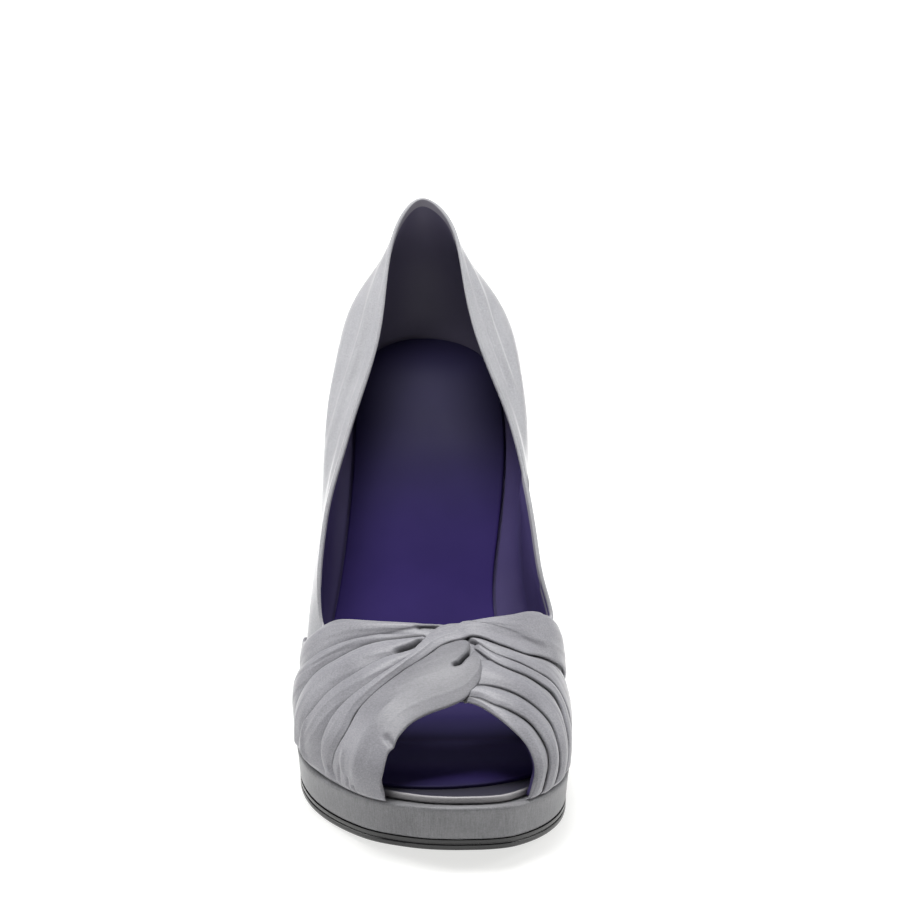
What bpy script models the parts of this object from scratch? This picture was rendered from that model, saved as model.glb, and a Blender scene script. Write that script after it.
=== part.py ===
# Peep toe pump, right shoe: eight separate solids built from named sizes.
# X is across, plus X the inner side of the foot. Y runs from toe to heel. Z is up, floor at 0.
# Tables and functions count Y from the toe. Each object is then placed with its origin at the tread.

import bmesh
import bpy
import math
import numpy as np

for old in list(bpy.data.objects):
    bpy.data.objects.remove(old, do_unlink=True)

# Driving sizes, in metres
LENGTH = 0.205          # base outline, toe edge to back of heel seat, along the floor
BALL = 0.085            # base outline, width across the ball
INSTEP = 0.0385         # throat point above the top of the platform
COUNTER = 0.0565        # centre back of the quarters above the heel seat
HEEL_RISE = 0.093       # heel seat above the top of the platform
TOE_SPRING = 0.006      # lift of the toe tip
PLATFORM = 0.011        # height of the platform
OUTSOLE = 0.0035        # thickness of the outsole under the ball
SHANK_SOLE = 0.0022     # thickness of the outsole under the waist
INSOLE = 0.0024         # thickness of the insole board
SOCK = 0.0009           # thickness of the sock
SOCK_FRONT = 0.0144     # front edge of the sock, from the toe
SOCK_CURVE = 0.0394     # radius of that edge
SOCK_SIDE = 0.0004      # sock edge inside the insole's edge
WALL = 0.0018           # wall of the upper, with its lining
DRAPE = 0.0013          # thinnest cloth of the pleated overlay
FOLD = 0.0022           # height of a full fold over that cloth
KNOT = 0.0036           # extra height where the folds cross
GAP = 0.0003            # clearance between pieces that touch
WELT = 0.0018           # platform edge outside the upper
SIDE_TAPER = 0.0009     # platform side leans in by this much
LIFT_HEIGHT = 0.0060    # top lift under the heel
LIFT_LENGTH = 0.0125    # top lift, front to back
LIFT_WIDTH = 0.0115     # top lift, side to side
HEEL_BREAST = 0.150     # front of the heel, from the toe
PLATFORM_END = 0.110    # back edge of the platform, from the toe
FLAT_START = 0.046      # tread lies flat on the floor from here
FLAT_END = 0.072        # to here

BASE = OUTSOLE + GAP + PLATFORM   # top of the platform under the ball
TREAD_MIDDLE = (FLAT_START + FLAT_END) / 2   # the shared frame's origin lies here, on the floor
VAMP_STEPS = 16                   # stations from the peep toe to the throat point
QUARTER_STEPS = 28                # stations from the throat point to the centre back
WALL_STEPS = 11                   # points up each side wall
BULGE_SHARE = 0.30                # share of those points below the widest line
ROUND = 0.5523                    # control length that makes a quarter ellipse

# Base outline: share of LENGTH, then lateral and medial shares of BALL
OUTLINE = (
    # along, lateral, medial
    (0.000, 0.106, 0.106),
    (0.0146, -0.070, 0.256),
    (0.034, -0.150, 0.310),
    (0.063, -0.243, 0.368),
    (0.107, -0.335, 0.433),
    (0.156, -0.415, 0.480),
    (0.220, -0.490, 0.504),
    (0.293, -0.527, 0.500),
    (0.366, -0.519, 0.464),
    (0.439, -0.485, 0.380),
    (0.527, -0.426, 0.298),
    (0.610, -0.380, 0.318),
    (0.693, -0.350, 0.353),
    (0.771, -0.336, 0.365),
    (0.839, -0.330, 0.355),
    (0.902, -0.301, 0.322),
    (0.951, -0.238, 0.256),
    (1.000, 0.000, 0.000),
)

# Heel pitch: share of LENGTH, then share of HEEL_RISE
PITCH = (
    # along, rise
    (0.000, 0.0),
    (0.200, 0.0),
    (0.351, 0.0),
    (0.380, 0.016),
    (0.454, 0.106),
    (0.527, 0.250),
    (0.600, 0.417),
    (0.673, 0.583),
    (0.746, 0.729),
    (0.820, 0.844),
    (0.893, 0.927),
    (1.000, 1.0),
)

# Ridge of the vamp from the peep toe to the throat point: shares of LENGTH, BALL and INSTEP
RIDGE = (
    # station, along, across, up
    (0, 0.149, 0.090, 0.695),
    (1, 0.187, 0.089, 0.797),
    (2, 0.225, 0.087, 0.882),
    (3, 0.266, 0.084, 0.950),
    (4, 0.310, 0.080, 1.000),
)

# Foot of each station on the outline, and the widest line of the wall above it
# along: share of LENGTH; out: share of BALL past the outline; up: share of INSTEP
LATERAL_FOOT = (
    # station, along, out, up
    (0, 0.056, 0.004, 0.17),
    (1, 0.098, -0.002, 0.22),
    (2, 0.156, -0.006, 0.25),
    (3, 0.220, -0.006, 0.26),
    (4, 0.278, -0.006, 0.27),
    (5, 0.317, -0.004, 0.29),
    (6, 0.351, 0.000, 0.31),
    (7, 0.385, 0.008, 0.33),
    (8, 0.420, 0.021, 0.35),
    (9, 0.459, 0.032, 0.38),
    (10, 0.502, 0.044, 0.40),
    (11, 0.556, 0.056, 0.43),
    (12, 0.615, 0.074, 0.46),
    (13, 0.676, 0.087, 0.47),
    (14, 0.737, 0.087, 0.46),
    (15, 0.795, 0.069, 0.43),
    (16, 0.854, 0.050, 0.40),
    (17, 0.915, 0.045, 0.38),
    (18, 0.966, 0.045, 0.37),
    (19, 1.000, 0.046, 0.37),
)
MEDIAL_FOOT = (
    # station, along, out, up
    (0, 0.042, 0.004, 0.15),
    (1, 0.098, -0.002, 0.22),
    (2, 0.156, -0.006, 0.25),
    (3, 0.220, -0.006, 0.26),
    (4, 0.278, 0.000, 0.27),
    (5, 0.317, 0.010, 0.29),
    (6, 0.351, 0.027, 0.31),
    (7, 0.385, 0.054, 0.34),
    (8, 0.420, 0.078, 0.37),
    (9, 0.459, 0.100, 0.40),
    (10, 0.502, 0.113, 0.43),
    (11, 0.556, 0.110, 0.46),
    (12, 0.615, 0.095, 0.48),
    (13, 0.676, 0.082, 0.48),
    (14, 0.737, 0.066, 0.46),
    (15, 0.795, 0.055, 0.43),
    (16, 0.854, 0.053, 0.40),
    (17, 0.915, 0.048, 0.38),
    (18, 0.966, 0.046, 0.37),
    (19, 1.000, 0.046, 0.37),
)

# Throat edge from the throat point to its corners: shares of LENGTH, BALL and INSTEP
THROAT = (
    # station, along, lateral, medial, lateral up, medial up, lean in degrees
    (4, 0.310, 0.080, 0.080, 1.010, 1.010, 0),
    (5, 0.318, -0.095, 0.200, 1.015, 1.025, 4),
    (6, 0.335, -0.255, 0.300, 1.000, 1.025, 14),
    (7, 0.362, -0.366, 0.392, 0.942, 0.992, 32),
    (8, 0.395, -0.430, 0.468, 0.870, 0.905, 52),
)

# Topline from the corners to the centre back: shares of LENGTH, BALL and COUNTER
TOPLINE = (
    # station, along, lateral, medial, lateral up, medial up, lean in degrees
    (9, 0.439, -0.446, 0.440, 0.655, 0.655, 66),
    (10, 0.488, -0.434, 0.420, 0.695, 0.695, 70),
    (11, 0.546, -0.406, 0.400, 0.687, 0.687, 70),
    (12, 0.610, -0.354, 0.370, 0.645, 0.645, 66),
    (13, 0.673, -0.298, 0.325, 0.610, 0.610, 60),
    (14, 0.732, -0.236, 0.260, 0.618, 0.618, 54),
    (15, 0.790, -0.190, 0.205, 0.652, 0.652, 50),
    (16, 0.849, -0.166, 0.172, 0.725, 0.725, 54),
    (17, 0.907, -0.142, 0.152, 0.822, 0.822, 66),
    (18, 0.953, -0.092, 0.104, 0.930, 0.930, 76),
    (19, 0.975, 0.000, 0.000, 1.000, 1.000, 80),
)

# Front edge of the overlay at the peep toe: the station it has at shares up the wall
PEEP_EDGE = (
    # up, lateral, medial
    (0.00, 0.00, 0.00),
    (0.18, 0.05, 0.12),
    (0.38, 0.10, 0.28),
    (0.50, 0.10, 0.26),
    (0.64, 0.05, 0.12),
    (0.80, 0.00, 0.00),
    (1.00, 0.00, 0.00),
)

# Creases of the overlay: the station that each one passes at five shares up the wall
CREASE_LEVELS = (0.0, 0.35, 0.60, 0.85, 1.0)
LATERAL_CREASES = (
    # foot, low, middle, high, top
    (0.00, 0.00, 0.00, 0.00, 0.00),
    (1.25, 1.45, 1.55, 1.95, 3.05),
    (1.90, 1.95, 1.95, 2.30, 3.30),
    (3.00, 2.75, 2.65, 2.78, 3.42),
    (3.15, 3.25, 3.58, 3.50, 3.50),
    (4.10, 4.05, 4.75, 3.85, 3.60),
    (5.70, 5.60, 5.70, 4.90, 4.20),
    (7.60, 7.40, 6.90, 6.30, 5.60),
    (10.60, 9.80, 9.20, 8.40, 8.00),
)
MEDIAL_CREASES = (
    # foot, low, middle, high, top
    (0.00, 0.00, 0.00, 0.00, 0.00),
    (0.25, 0.72, 0.60, 0.15, 0.05),
    (0.60, 1.15, 1.25, 0.90, 0.60),
    (1.25, 1.80, 2.25, 2.22, 2.90),
    (1.80, 1.95, 2.85, 2.57, 3.10),
    (3.30, 3.40, 3.60, 2.90, 3.20),
    (4.90, 5.00, 4.10, 3.15, 3.28),
    (10.60, 9.80, 9.20, 8.40, 8.00),
)

# Folds between one crease and the next: share of FOLD, and what is left of it at the throat
LATERAL_FOLDS = (
    # height, at the throat
    (1.00, 0.6),
    (1.25, 0.8),
    (0.75, 0.3),
    (0.55, 0.2),
    (0.80, 0.3),
    (0.75, 0.3),
    (0.45, 0.3),
    (0.15, 0.3),
)
MEDIAL_FOLDS = (
    # height, at the throat
    (0.70, 0.8),
    (0.75, 0.6),
    (0.80, 0.5),
    (0.75, 0.5),
    (0.70, 0.5),
    (0.80, 0.6),
    (1.00, 1.0),
)

# Edge of the big lateral fold where it laps over the ridge: station, share up the medial wall
LOBE_EDGE = (
    # station, up
    (0.0, 0.975),
    (0.75, 0.915),
    (1.3, 0.885),
    (1.8, 0.905),
    (2.2, 0.940),
    (3.0, 0.970),
    (3.6, 1.000),
)
KNOT_STATION = 3.45     # the folds cross on the ridge here
PEEP_TUCK = 0.25        # the upper stops this far, in stations, behind the overlay's front edge
DRAPE_END = 10.35       # foot of the overlay's back edge, as a station
DRAPE_CORNER = 7.6      # its corner on the topline, as a station

# Heel: share of the stem's height from the lift, then shares of the seat's length and BALL
STEM = (
    # up, front, back, half width
    (0.00, 0.560, 0.790, 0.066),
    (0.16, 0.545, 0.800, 0.068),
    (0.36, 0.500, 0.832, 0.075),
    (0.54, 0.430, 0.872, 0.090),
    (0.68, 0.345, 0.915, 0.120),
    (0.79, 0.245, 0.955, 0.168),
    (0.88, 0.135, 0.982, 0.228),
    (0.95, 0.045, 0.996, 0.282),
)


def spline(xs, ys, at):
    # Natural cubic spline through a table's column.
    xs = np.asarray(xs, float)
    ys = np.asarray(ys, float)
    n = len(xs)
    h = np.diff(xs)
    a = np.eye(n)
    b = np.zeros(n)
    for i in range(1, n - 1):
        a[i, i - 1] = h[i - 1]
        a[i, i] = 2 * (h[i - 1] + h[i])
        a[i, i + 1] = h[i]
        b[i] = 6 * ((ys[i + 1] - ys[i]) / h[i] - (ys[i] - ys[i - 1]) / h[i - 1])
    m = np.linalg.solve(a, b)
    at = np.clip(np.asarray(at, float), xs[0], xs[-1])
    k = np.clip(np.searchsorted(xs, at, side="right") - 1, 0, n - 2)
    t = at - xs[k]
    slope = (ys[k + 1] - ys[k]) / h[k] - h[k] * (2 * m[k] + m[k + 1]) / 6
    return ys[k] + t * (slope + t * (m[k] / 2 + t * (m[k + 1] - m[k]) / (6 * h[k])))


def monotone(xs, ys, at):
    # Cubic through a table's column that never overshoots, so a flat stretch stays flat.
    xs = np.asarray(xs, float)
    ys = np.asarray(ys, float)
    h = np.diff(xs)
    d = np.diff(ys) / h
    m = np.zeros(len(xs))
    for i in range(1, len(xs) - 1):
        if d[i - 1] * d[i] > 0:
            w0 = 2 * h[i] + h[i - 1]
            w1 = h[i] + 2 * h[i - 1]
            m[i] = (w0 + w1) / (w0 / d[i - 1] + w1 / d[i])
    m[-1] = d[-1]
    at = np.clip(np.asarray(at, float), xs[0], xs[-1])
    k = np.clip(np.searchsorted(xs, at, side="right") - 1, 0, len(xs) - 2)
    t = (at - xs[k]) / h[k]
    rise = (t * t * (3 - 2 * t)) * (ys[k + 1] - ys[k])
    return ys[k] + rise + h[k] * t * (1 - t) * ((1 - t) * m[k] - t * m[k + 1])


def column(table, index):
    return np.array([row[index] for row in table], float)


def smooth_step(x):
    x = np.clip(x, 0.0, 1.0)
    return x * x * (3 - 2 * x)


# Sole surfaces, as heights over the floor at a distance from the toe

def pitch(y):
    # Lift of the platform's top over its flat level: toe spring in front, heel rise behind.
    spring = TOE_SPRING * np.clip((FLAT_START - y) / FLAT_START, 0, None) ** 2.2
    return spring + HEEL_RISE * monotone(column(PITCH, 0) * LENGTH, column(PITCH, 1), y)


def seat(y):
    return BASE + pitch(y)


def platform_height(y):
    start = 0.74 * PLATFORM_END
    return PLATFORM * (1 - smooth_step((y - start) / (1.06 * PLATFORM_END - start)))


def sole_top(y):
    end = smooth_step((y - 0.97 * PLATFORM_END) / (0.08 * PLATFORM_END))
    return seat(y) - platform_height(y) - GAP * (1 - end)


def sole_bottom(y):
    thin = smooth_step((y - FLAT_END) / (PLATFORM_END - FLAT_END))
    return sole_top(y) - OUTSOLE - (SHANK_SOLE - OUTSOLE) * thin


# Base outline as one loop: turn is 0 at the back, plus pi or minus pi at the toe

def outline_point(turn):
    angles = np.arccos(1 - 2 * column(OUTLINE, 0))
    lateral = column(OUTLINE, 1)
    medial = column(OUTLINE, 2)
    loop = np.concatenate([angles - math.pi, (math.pi - angles)[::-1][1:]])
    across = np.concatenate([medial, lateral[::-1][1:]])
    x = BALL * spline(loop, across, turn)
    y = LENGTH * (1 + np.cos(turn)) / 2
    return np.stack([x, y], axis=-1)


def outline_normal(turn):
    step = 0.004
    turn = np.clip(turn, step - math.pi, math.pi - step)
    d = outline_point(turn + step) - outline_point(turn - step)
    n = np.stack([d[..., 1], -d[..., 0]], axis=-1)
    return n / np.linalg.norm(n, axis=-1, keepdims=True)


def outline_inset(turn, inset):
    return outline_point(turn) - outline_normal(turn) * np.asarray(inset)[..., None]


def turn_of(along, side):
    return side * (math.pi - math.acos(1 - 2 * along))


# Last surface of the upper. side is +1 lateral, -1 medial; station runs 0 to 19; v runs 0 to 1.

LAST_STATION = 19
THROAT_STATION = 4


def foot_columns(side):
    # Turn, outward and upward columns of the whole loop, read from the given side's front.
    near = LATERAL_FOOT if side > 0 else MEDIAL_FOOT
    far = MEDIAL_FOOT if side > 0 else LATERAL_FOOT
    stations = [row[0] for row in near] + [2 * LAST_STATION - row[0] for row in far[-2::-1]]
    turns = [turn_of(row[1], 1) for row in near] + [-turn_of(row[1], 1) for row in far[-2::-1]]
    outs = [row[2] for row in near] + [row[2] for row in far[-2::-1]]
    ups = [row[3] for row in near] + [row[3] for row in far[-2::-1]]
    return stations, turns, outs, ups


def top_loop(side):
    # Throat edge and topline as one loop of points, read from the given side's throat point.
    near = 2 if side > 0 else 3
    far = 3 if side > 0 else 2
    loop = [(row[0], row, near) for row in THROAT + TOPLINE]
    loop += [(2 * LAST_STATION - row[0], row, far) for row in (THROAT + TOPLINE)[-2::-1]]
    table = []
    for station, row, hand in loop:
        y = row[1] * LENGTH
        low, size = (BASE, INSTEP) if row in THROAT else (float(seat(y)), COUNTER)
        table.append((station, row[hand] * BALL, y, low + size * row[hand + 2], row[6]))
    return table


FEET = {side: foot_columns(side) for side in (1, -1)}
TOPS = {side: top_loop(side) for side in (1, -1)}


def guides(side, station):
    # Foot, widest point, top point, end direction and its lean, for stations of one side.
    station = np.asarray(station, float)
    stations, turns, outs, ups = FEET[side]
    turn = spline(stations, turns, station) * side
    foot = outline_inset(turn, np.full(turn.shape, WELT))
    normal = outline_normal(turn)
    out = BALL * spline(stations, outs, station)
    up = INSTEP * spline(stations, ups, station)
    bottom = seat(foot[..., 1]) + GAP
    widest = foot + normal * out[..., None]
    ridge_at = np.clip(station, 0, THROAT_STATION)
    ridge = np.stack([
        BALL * spline(column(RIDGE, 0), column(RIDGE, 2), ridge_at),
        LENGTH * spline(column(RIDGE, 0), column(RIDGE, 1), ridge_at),
        BASE + INSTEP * spline(column(RIDGE, 0), column(RIDGE, 3), ridge_at),
    ], axis=-1)
    table = TOPS[side]
    edge_at = np.clip(station, THROAT_STATION, None)
    edge = np.stack([spline(column(table, 0), column(table, i), edge_at) for i in (1, 2, 3)], axis=-1)
    lean = np.radians(spline(column(table, 0), column(table, 4), edge_at))
    on_ridge = (station <= THROAT_STATION)[..., None]
    top = np.where(on_ridge, ridge, edge)
    lean = np.where(station <= THROAT_STATION, 0.0, lean)
    return foot, bottom, widest, bottom + up, top, lean


def last_point(side, station, v):
    # Point of the upper's outer surface.
    station, v = np.broadcast_arrays(np.asarray(station, float), np.asarray(v, float))
    foot, bottom, widest, level, top, lean = guides(side, station)
    z_up = np.array([0.0, 0.0, 1.0])
    f = np.concatenate([foot, bottom[..., None]], axis=-1)
    b = np.concatenate([widest, level[..., None]], axis=-1)
    rise_low = (level - bottom)[..., None]
    f1 = f + (b - f) * np.array([0.8, 0.8, 0.0]) + z_up * rise_low * 0.32
    f2 = b - z_up * rise_low * 0.42
    flat = (top - b) * np.array([1.0, 1.0, 0.0])
    reach = np.linalg.norm(flat, axis=-1, keepdims=True)
    towards = flat / np.maximum(reach, 1e-6)
    sideways = np.array([float(side), 0.0, 0.0])
    turn_in = smooth_step((station - THROAT_STATION) / 4.5)[..., None]
    towards = sideways * (1 - turn_in) + towards * turn_in
    towards = towards / np.linalg.norm(towards, axis=-1, keepdims=True)
    reach = reach * turn_in + np.abs(flat[..., :1]) * (1 - turn_in)
    height = (top - b)[..., 2:]
    lean = lean[..., None]
    end = towards * np.cos(lean) + z_up * np.sin(lean)
    length = reach * np.cos(lean) + height * np.sin(lean)
    t1 = b + z_up * height * ROUND
    t2 = top - end * length * ROUND
    low = np.clip(v / BULGE_SHARE, 0, 1)[..., None]
    high = np.clip((v - BULGE_SHARE) / (1 - BULGE_SHARE), 0, 1)[..., None]
    p_low = bezier(f, f1, f2, b, low)
    p_high = bezier(b, t1, t2, top, high)
    return np.where((v < BULGE_SHARE)[..., None], p_low, p_high)


def bezier(a, b, c, d, t):
    s = 1 - t
    return a * s ** 3 + b * 3 * s * s * t + c * 3 * s * t * t + d * t ** 3


def peep_edge(side, v):
    # Station of the overlay's front edge at shares up the wall.
    return monotone(column(PEEP_EDGE, 0), column(PEEP_EDGE, 1 if side > 0 else 2), v)


def crease(row, v):
    # Station of one crease at shares up the wall.
    return monotone(CREASE_LEVELS, row, v)


def fold_height(side, station, v):
    # Height of the overlay over the last, folds and knot included.
    station, v = np.broadcast_arrays(np.asarray(station, float), np.asarray(v, float))
    creases = LATERAL_CREASES if side > 0 else MEDIAL_CREASES
    folds = LATERAL_FOLDS if side > 0 else MEDIAL_FOLDS
    height = np.zeros(station.shape)
    for (share, kept), start, end in zip(folds, creases, creases[1:]):
        low = crease(start, v) + (peep_edge(side, v) if start is creases[0] else 0.0)
        high = np.maximum(crease(end, v), low + 0.05)
        f = np.clip((station - low) / (high - low), 0, 1)
        roll = np.sqrt(np.clip(1 - (2 * f - 1) ** 2, 0, 1))
        fade = kept + (1 - kept) * smooth_step((1 - v) / 0.25)
        height = np.maximum(height, share * fade * roll)
    if side < 0:
        lap = monotone(column(LOBE_EDGE, 0), column(LOBE_EDGE, 1), station)
        over = np.sqrt(np.clip((v - lap) / 0.05, 0, 1)) * (station < 3.6)
        height = np.maximum(height, 1.15 * over)
    edge = smooth_step(v / 0.16) * 0.85 + 0.15
    near = ((station - KNOT_STATION) / 0.75) ** 2 + ((1 - v) / 0.16) ** 2
    knot = KNOT * np.exp(-near)
    return DRAPE * (0.65 + 0.35 * edge) + FOLD * height * edge + knot


# Mesh helpers

def material(name, colour, roughness, metallic=0.0):
    slot = bpy.data.materials.new(name)
    slot.use_nodes = True
    shader = slot.node_tree.nodes["Principled BSDF"]
    shader.inputs["Base Color"].default_value = (*colour, 1.0)
    shader.inputs["Roughness"].default_value = roughness
    shader.inputs["Metallic"].default_value = metallic
    slot.diffuse_color = (*colour, 1.0)
    return slot


def make_object(name, points, faces, slot, smooth=True):
    mesh = bpy.data.meshes.new(name)
    mesh.from_pydata([tuple(p) for p in points], [], faces)
    work = bmesh.new()
    work.from_mesh(mesh)
    bmesh.ops.recalc_face_normals(work, faces=work.faces)
    bmesh.ops.triangulate(work, faces=work.faces)
    work.to_mesh(mesh)
    work.free()
    for face in mesh.polygons:
        face.use_smooth = smooth
    if smooth:
        mesh.set_sharp_from_angle(angle=math.radians(38))
    mesh.materials.append(slot)
    part = bpy.data.objects.new(name, mesh)
    part.location = (0.0, -TREAD_MIDDLE, 0.0)
    bpy.context.scene.collection.objects.link(part)
    return part


def shell_grid(station_of, rows, v_of_column, split):
    # Both sides of the last as one sheet. Rows before split share their top point on the ridge.
    points = []
    tags = []
    index = {}
    columns = len(v_of_column)
    for side in (1, -1):
        for i in range(rows):
            for j in range(columns):
                station = float(station_of(side, i, v_of_column[j]))
                shared = (j == columns - 1 and i <= split)
                closed = (i == rows - 1 and station >= LAST_STATION)
                if side < 0 and (shared or closed):
                    index[side, i, j] = index[1, i, j]
                    continue
                index[side, i, j] = len(tags)
                tags.append((side, station, v_of_column[j]))
    faces = []
    for side in (1, -1):
        for i in range(rows - 1):
            for j in range(columns - 1):
                quad = [index[side, i, j], index[side, i + 1, j],
                        index[side, i + 1, j + 1], index[side, i, j + 1]]
                faces.append(quad if side > 0 else quad[::-1])
    for side in (1, -1):
        mine = [k for k, tag in enumerate(tags) if tag[0] == side]
        at = last_point(side, [tags[k][1] for k in mine], [tags[k][2] for k in mine])
        points.append((mine, at))
    out = np.zeros((len(tags), 3))
    for mine, at in points:
        out[mine] = at
    return out, faces, tags


def sheet_normals(points, faces, tags):
    # Outward normals of a sheet; they lie level along the foot so that the rim stays flat.
    normals = np.zeros_like(points)
    for face in faces:
        a, b, c, d = (points[k] for k in face)
        n = np.cross(c - a, d - b)
        for k in face:
            normals[k] += n
    for k, tag in enumerate(tags):
        if tag[2] <= 0:
            normals[k][2] = 0.0
    normals = normals / np.linalg.norm(normals, axis=1, keepdims=True)
    middle = np.array([0.0, LENGTH * 0.4, BASE])
    if np.sum(normals * (points - middle)) < 0:
        normals = -normals
    return normals


def seat_feet(points, tags):
    # Bring the foot of a sheet back down to its gap over the sole, after it was moved sideways.
    for k, tag in enumerate(tags):
        if tag[2] <= 0:
            points[k][2] = float(seat(points[k][1])) + GAP
    return points


def closed_shell(outer, inner, faces):
    # Solid between two copies of one sheet, with a rim along every open edge.
    n = len(outer)
    points = np.concatenate([outer, inner])
    solid = [list(f) for f in faces] + [[k + n for k in f[::-1]] for f in faces]
    edges = {}
    for face in faces:
        for a, b in zip(face, face[1:] + face[:1]):
            edges[(a, b)] = edges.get((a, b), 0) + 1
    for a, b in edges:
        if (b, a) not in edges:
            solid.append([b, a, a + n, b + n])
    return points, solid


def slab(name, rings, caps, slot):
    # Solid of stacked outline rings. Each ring is a lateral and a medial row of points.
    points = []
    faces = []
    rows = len(rings[0][0])
    for lateral, medial in rings:
        points.extend(lateral)
        points.extend(medial)
    per = 2 * rows
    loop = list(range(rows)) + list(range(per - 1, rows - 1, -1))
    for r in range(len(rings) - 1):
        for a, b in zip(loop, loop[1:] + loop[:1]):
            faces.append([r * per + a, r * per + b, (r + 1) * per + b, (r + 1) * per + a])
    for r in caps:
        for i in range(rows - 1):
            faces.append([r * per + i, r * per + i + 1, r * per + rows + i + 1, r * per + rows + i])
    return make_object(name, points, faces, slot)


def tuck(y):
    # Extra inset that brings platform and outsole in to the upper's own line behind the ball.
    return WELT * smooth_step((y - 0.55 * PLATFORM_END) / (0.45 * PLATFORM_END))


def outline_rows(turns, inset, height, tucked=False):
    # One ring at an inset from the base outline, at heights given by a function of y.
    rows = []
    for side in (1, -1):
        extra = tuck(LENGTH * (1 + np.cos(turns)) / 2) if tucked else 0.0
        flat = outline_inset(side * turns, np.full(len(turns), float(inset)) + extra)
        z = height(flat[:, 1])
        rows.append([(p[0], p[1], h) for p, h in zip(flat, z)])
    return rows


def turns_between(front, back, steps):
    # Turns from a distance near the toe to one near the heel.
    first = turn_of(front / LENGTH, 1)
    last = turn_of(back / LENGTH, 1)
    return np.linspace(first, last, steps + 1)


# Pieces

def build_outsole(slot):
    turns = turns_between(0.0004, HEEL_BREAST - GAP, 40)
    step = 0.0004
    profile = (
        # inset beyond the platform's lower edge, share of the outsole's thickness
        (0.0, 0.0),
        (0.0, 0.30),
        (step, 0.34),
        (step, 0.48),
        (0.0, 0.52),
        (0.0, 0.86),
        (step, 1.0),
    )

    def level(share):
        return lambda y: sole_top(y) + (sole_bottom(y) - sole_top(y)) * share

    rings = [outline_rows(turns, SIDE_TAPER + inset, level(share), True) for inset, share in profile]
    return slab("outsole", rings, (0, len(rings) - 1), slot)


def build_platform(slot):
    turns = turns_between(0.0004, PLATFORM_END, 34)
    edge = 0.0010
    profile = (
        # inset from the base outline, share of the platform's height
        (edge, 0.0),
        (edge * 0.3, 0.03),
        (0.0, 0.10),
        (SIDE_TAPER * 0.45, 0.50),
        (SIDE_TAPER, 0.95),
        (SIDE_TAPER + edge * 0.4, 1.0),
    )

    def level(share):
        return lambda y: seat(y) - platform_height(y) * share

    rings = [outline_rows(turns, inset, level(share), True) for inset, share in profile]
    return slab("platform", rings, (0, len(rings) - 1), slot)


def build_insole(slot):
    turns = turns_between(0.0004, LENGTH - 0.0004, 44)
    inset = WELT + WALL + GAP + 0.0002
    edge = 0.0005

    def level(drop):
        return lambda y: seat(y) + GAP + INSOLE - drop

    rings = [
        outline_rows(turns, inset + edge, level(0.0)),
        outline_rows(turns, inset, level(edge)),
        outline_rows(turns, inset, level(INSOLE - edge)),
        outline_rows(turns, inset + edge, level(INSOLE)),
    ]
    return slab("insole", rings, (0, len(rings) - 1), slot)


def build_sock(slot):
    turns = turns_between(0.0004, LENGTH - 0.0004, 44)
    inset = WELT + WALL + GAP + 0.0002 + SOCK_SIDE
    blend = 0.0006

    def rows(extra, lift):
        out = []
        for hand in (1, -1):
            flat = outline_inset(hand * turns, np.full(len(turns), inset + extra))
            front = SOCK_FRONT + extra + flat[:, 0] ** 2 / (2 * SOCK_CURVE)
            apart = flat[:, 1] - front
            flat[:, 1] = front + (apart + np.sqrt(apart ** 2 + blend ** 2)) / 2
            z = seat(flat[:, 1]) + GAP + INSOLE + GAP + lift
            out.append([(p[0], p[1], h) for p, h in zip(flat, z)])
        return out

    rings = [rows(0.0003, SOCK), rows(0.0, SOCK * 0.6), rows(0.0, 0.0)]
    return slab("sock", rings, (0, 2), slot)


def build_upper(slot):
    far = np.linspace(THROAT_STATION, LAST_STATION, QUARTER_STEPS + 1)[1:]
    v = wall_levels(WALL_STEPS)

    def station_of(side, i, w):
        if i > VAMP_STEPS:
            return far[i - VAMP_STEPS - 1]
        front = peep_edge(side, w) + PEEP_TUCK
        return front + (THROAT_STATION - front) * i / VAMP_STEPS

    points, faces, tags = shell_grid(station_of, VAMP_STEPS + QUARTER_STEPS + 1, v, VAMP_STEPS)
    normals = sheet_normals(points, faces, tags)
    inner = seat_feet(points - normals * WALL, tags)
    solid_points, solid = closed_shell(points, inner, faces)
    return make_object("upper", solid_points, solid, slot)


def wall_levels(steps):
    # Values of v, closer together below the widest line.
    low = max(3, round(steps * BULGE_SHARE))
    return np.concatenate([
        np.linspace(0, BULGE_SHARE, low + 1)[:-1],
        np.linspace(BULGE_SHARE, 1, steps - low + 1),
    ])


def drape_end(v):
    # Back edge of the overlay: from its foot up to the throat corner.
    return DRAPE_CORNER + (DRAPE_END - DRAPE_CORNER) * (1 - v) ** 2.2


def middle_station(v):
    # Row of the overlay's grid that ends at the throat point.
    return THROAT_STATION + (drape_end(v) - DRAPE_CORNER) * 0.45


def build_vamp_drape(slot):
    steps = 32
    split = 17
    v = wall_levels(12)

    def station_of(side, i, w):
        front = peep_edge(side, w)
        middle = middle_station(w)
        if i <= split:
            return front + (middle - front) * i / split
        return middle + (drape_end(w) - middle) * (i - split) / (steps - split)

    points, faces, tags = shell_grid(station_of, steps + 1, v, split)
    normals = sheet_normals(points, faces, tags)
    heights = np.zeros(len(tags))
    for side in (1, -1):
        mine = [k for k, tag in enumerate(tags) if tag[0] == side]
        heights[mine] = fold_height(side, [tags[k][1] for k in mine], [tags[k][2] for k in mine])
    inner = seat_feet(points + normals * GAP, tags)
    outer = seat_feet(points + normals * (GAP + heights[:, None]), tags)
    solid_points, solid = closed_shell(outer, inner, faces)
    return make_object("vamp_drape", solid_points, solid, slot)


def seat_plan(turns):
    # Outline of the heel's cup under the quarters.
    return outline_inset(turns, np.full(len(turns), WELT + 0.0004))


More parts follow.
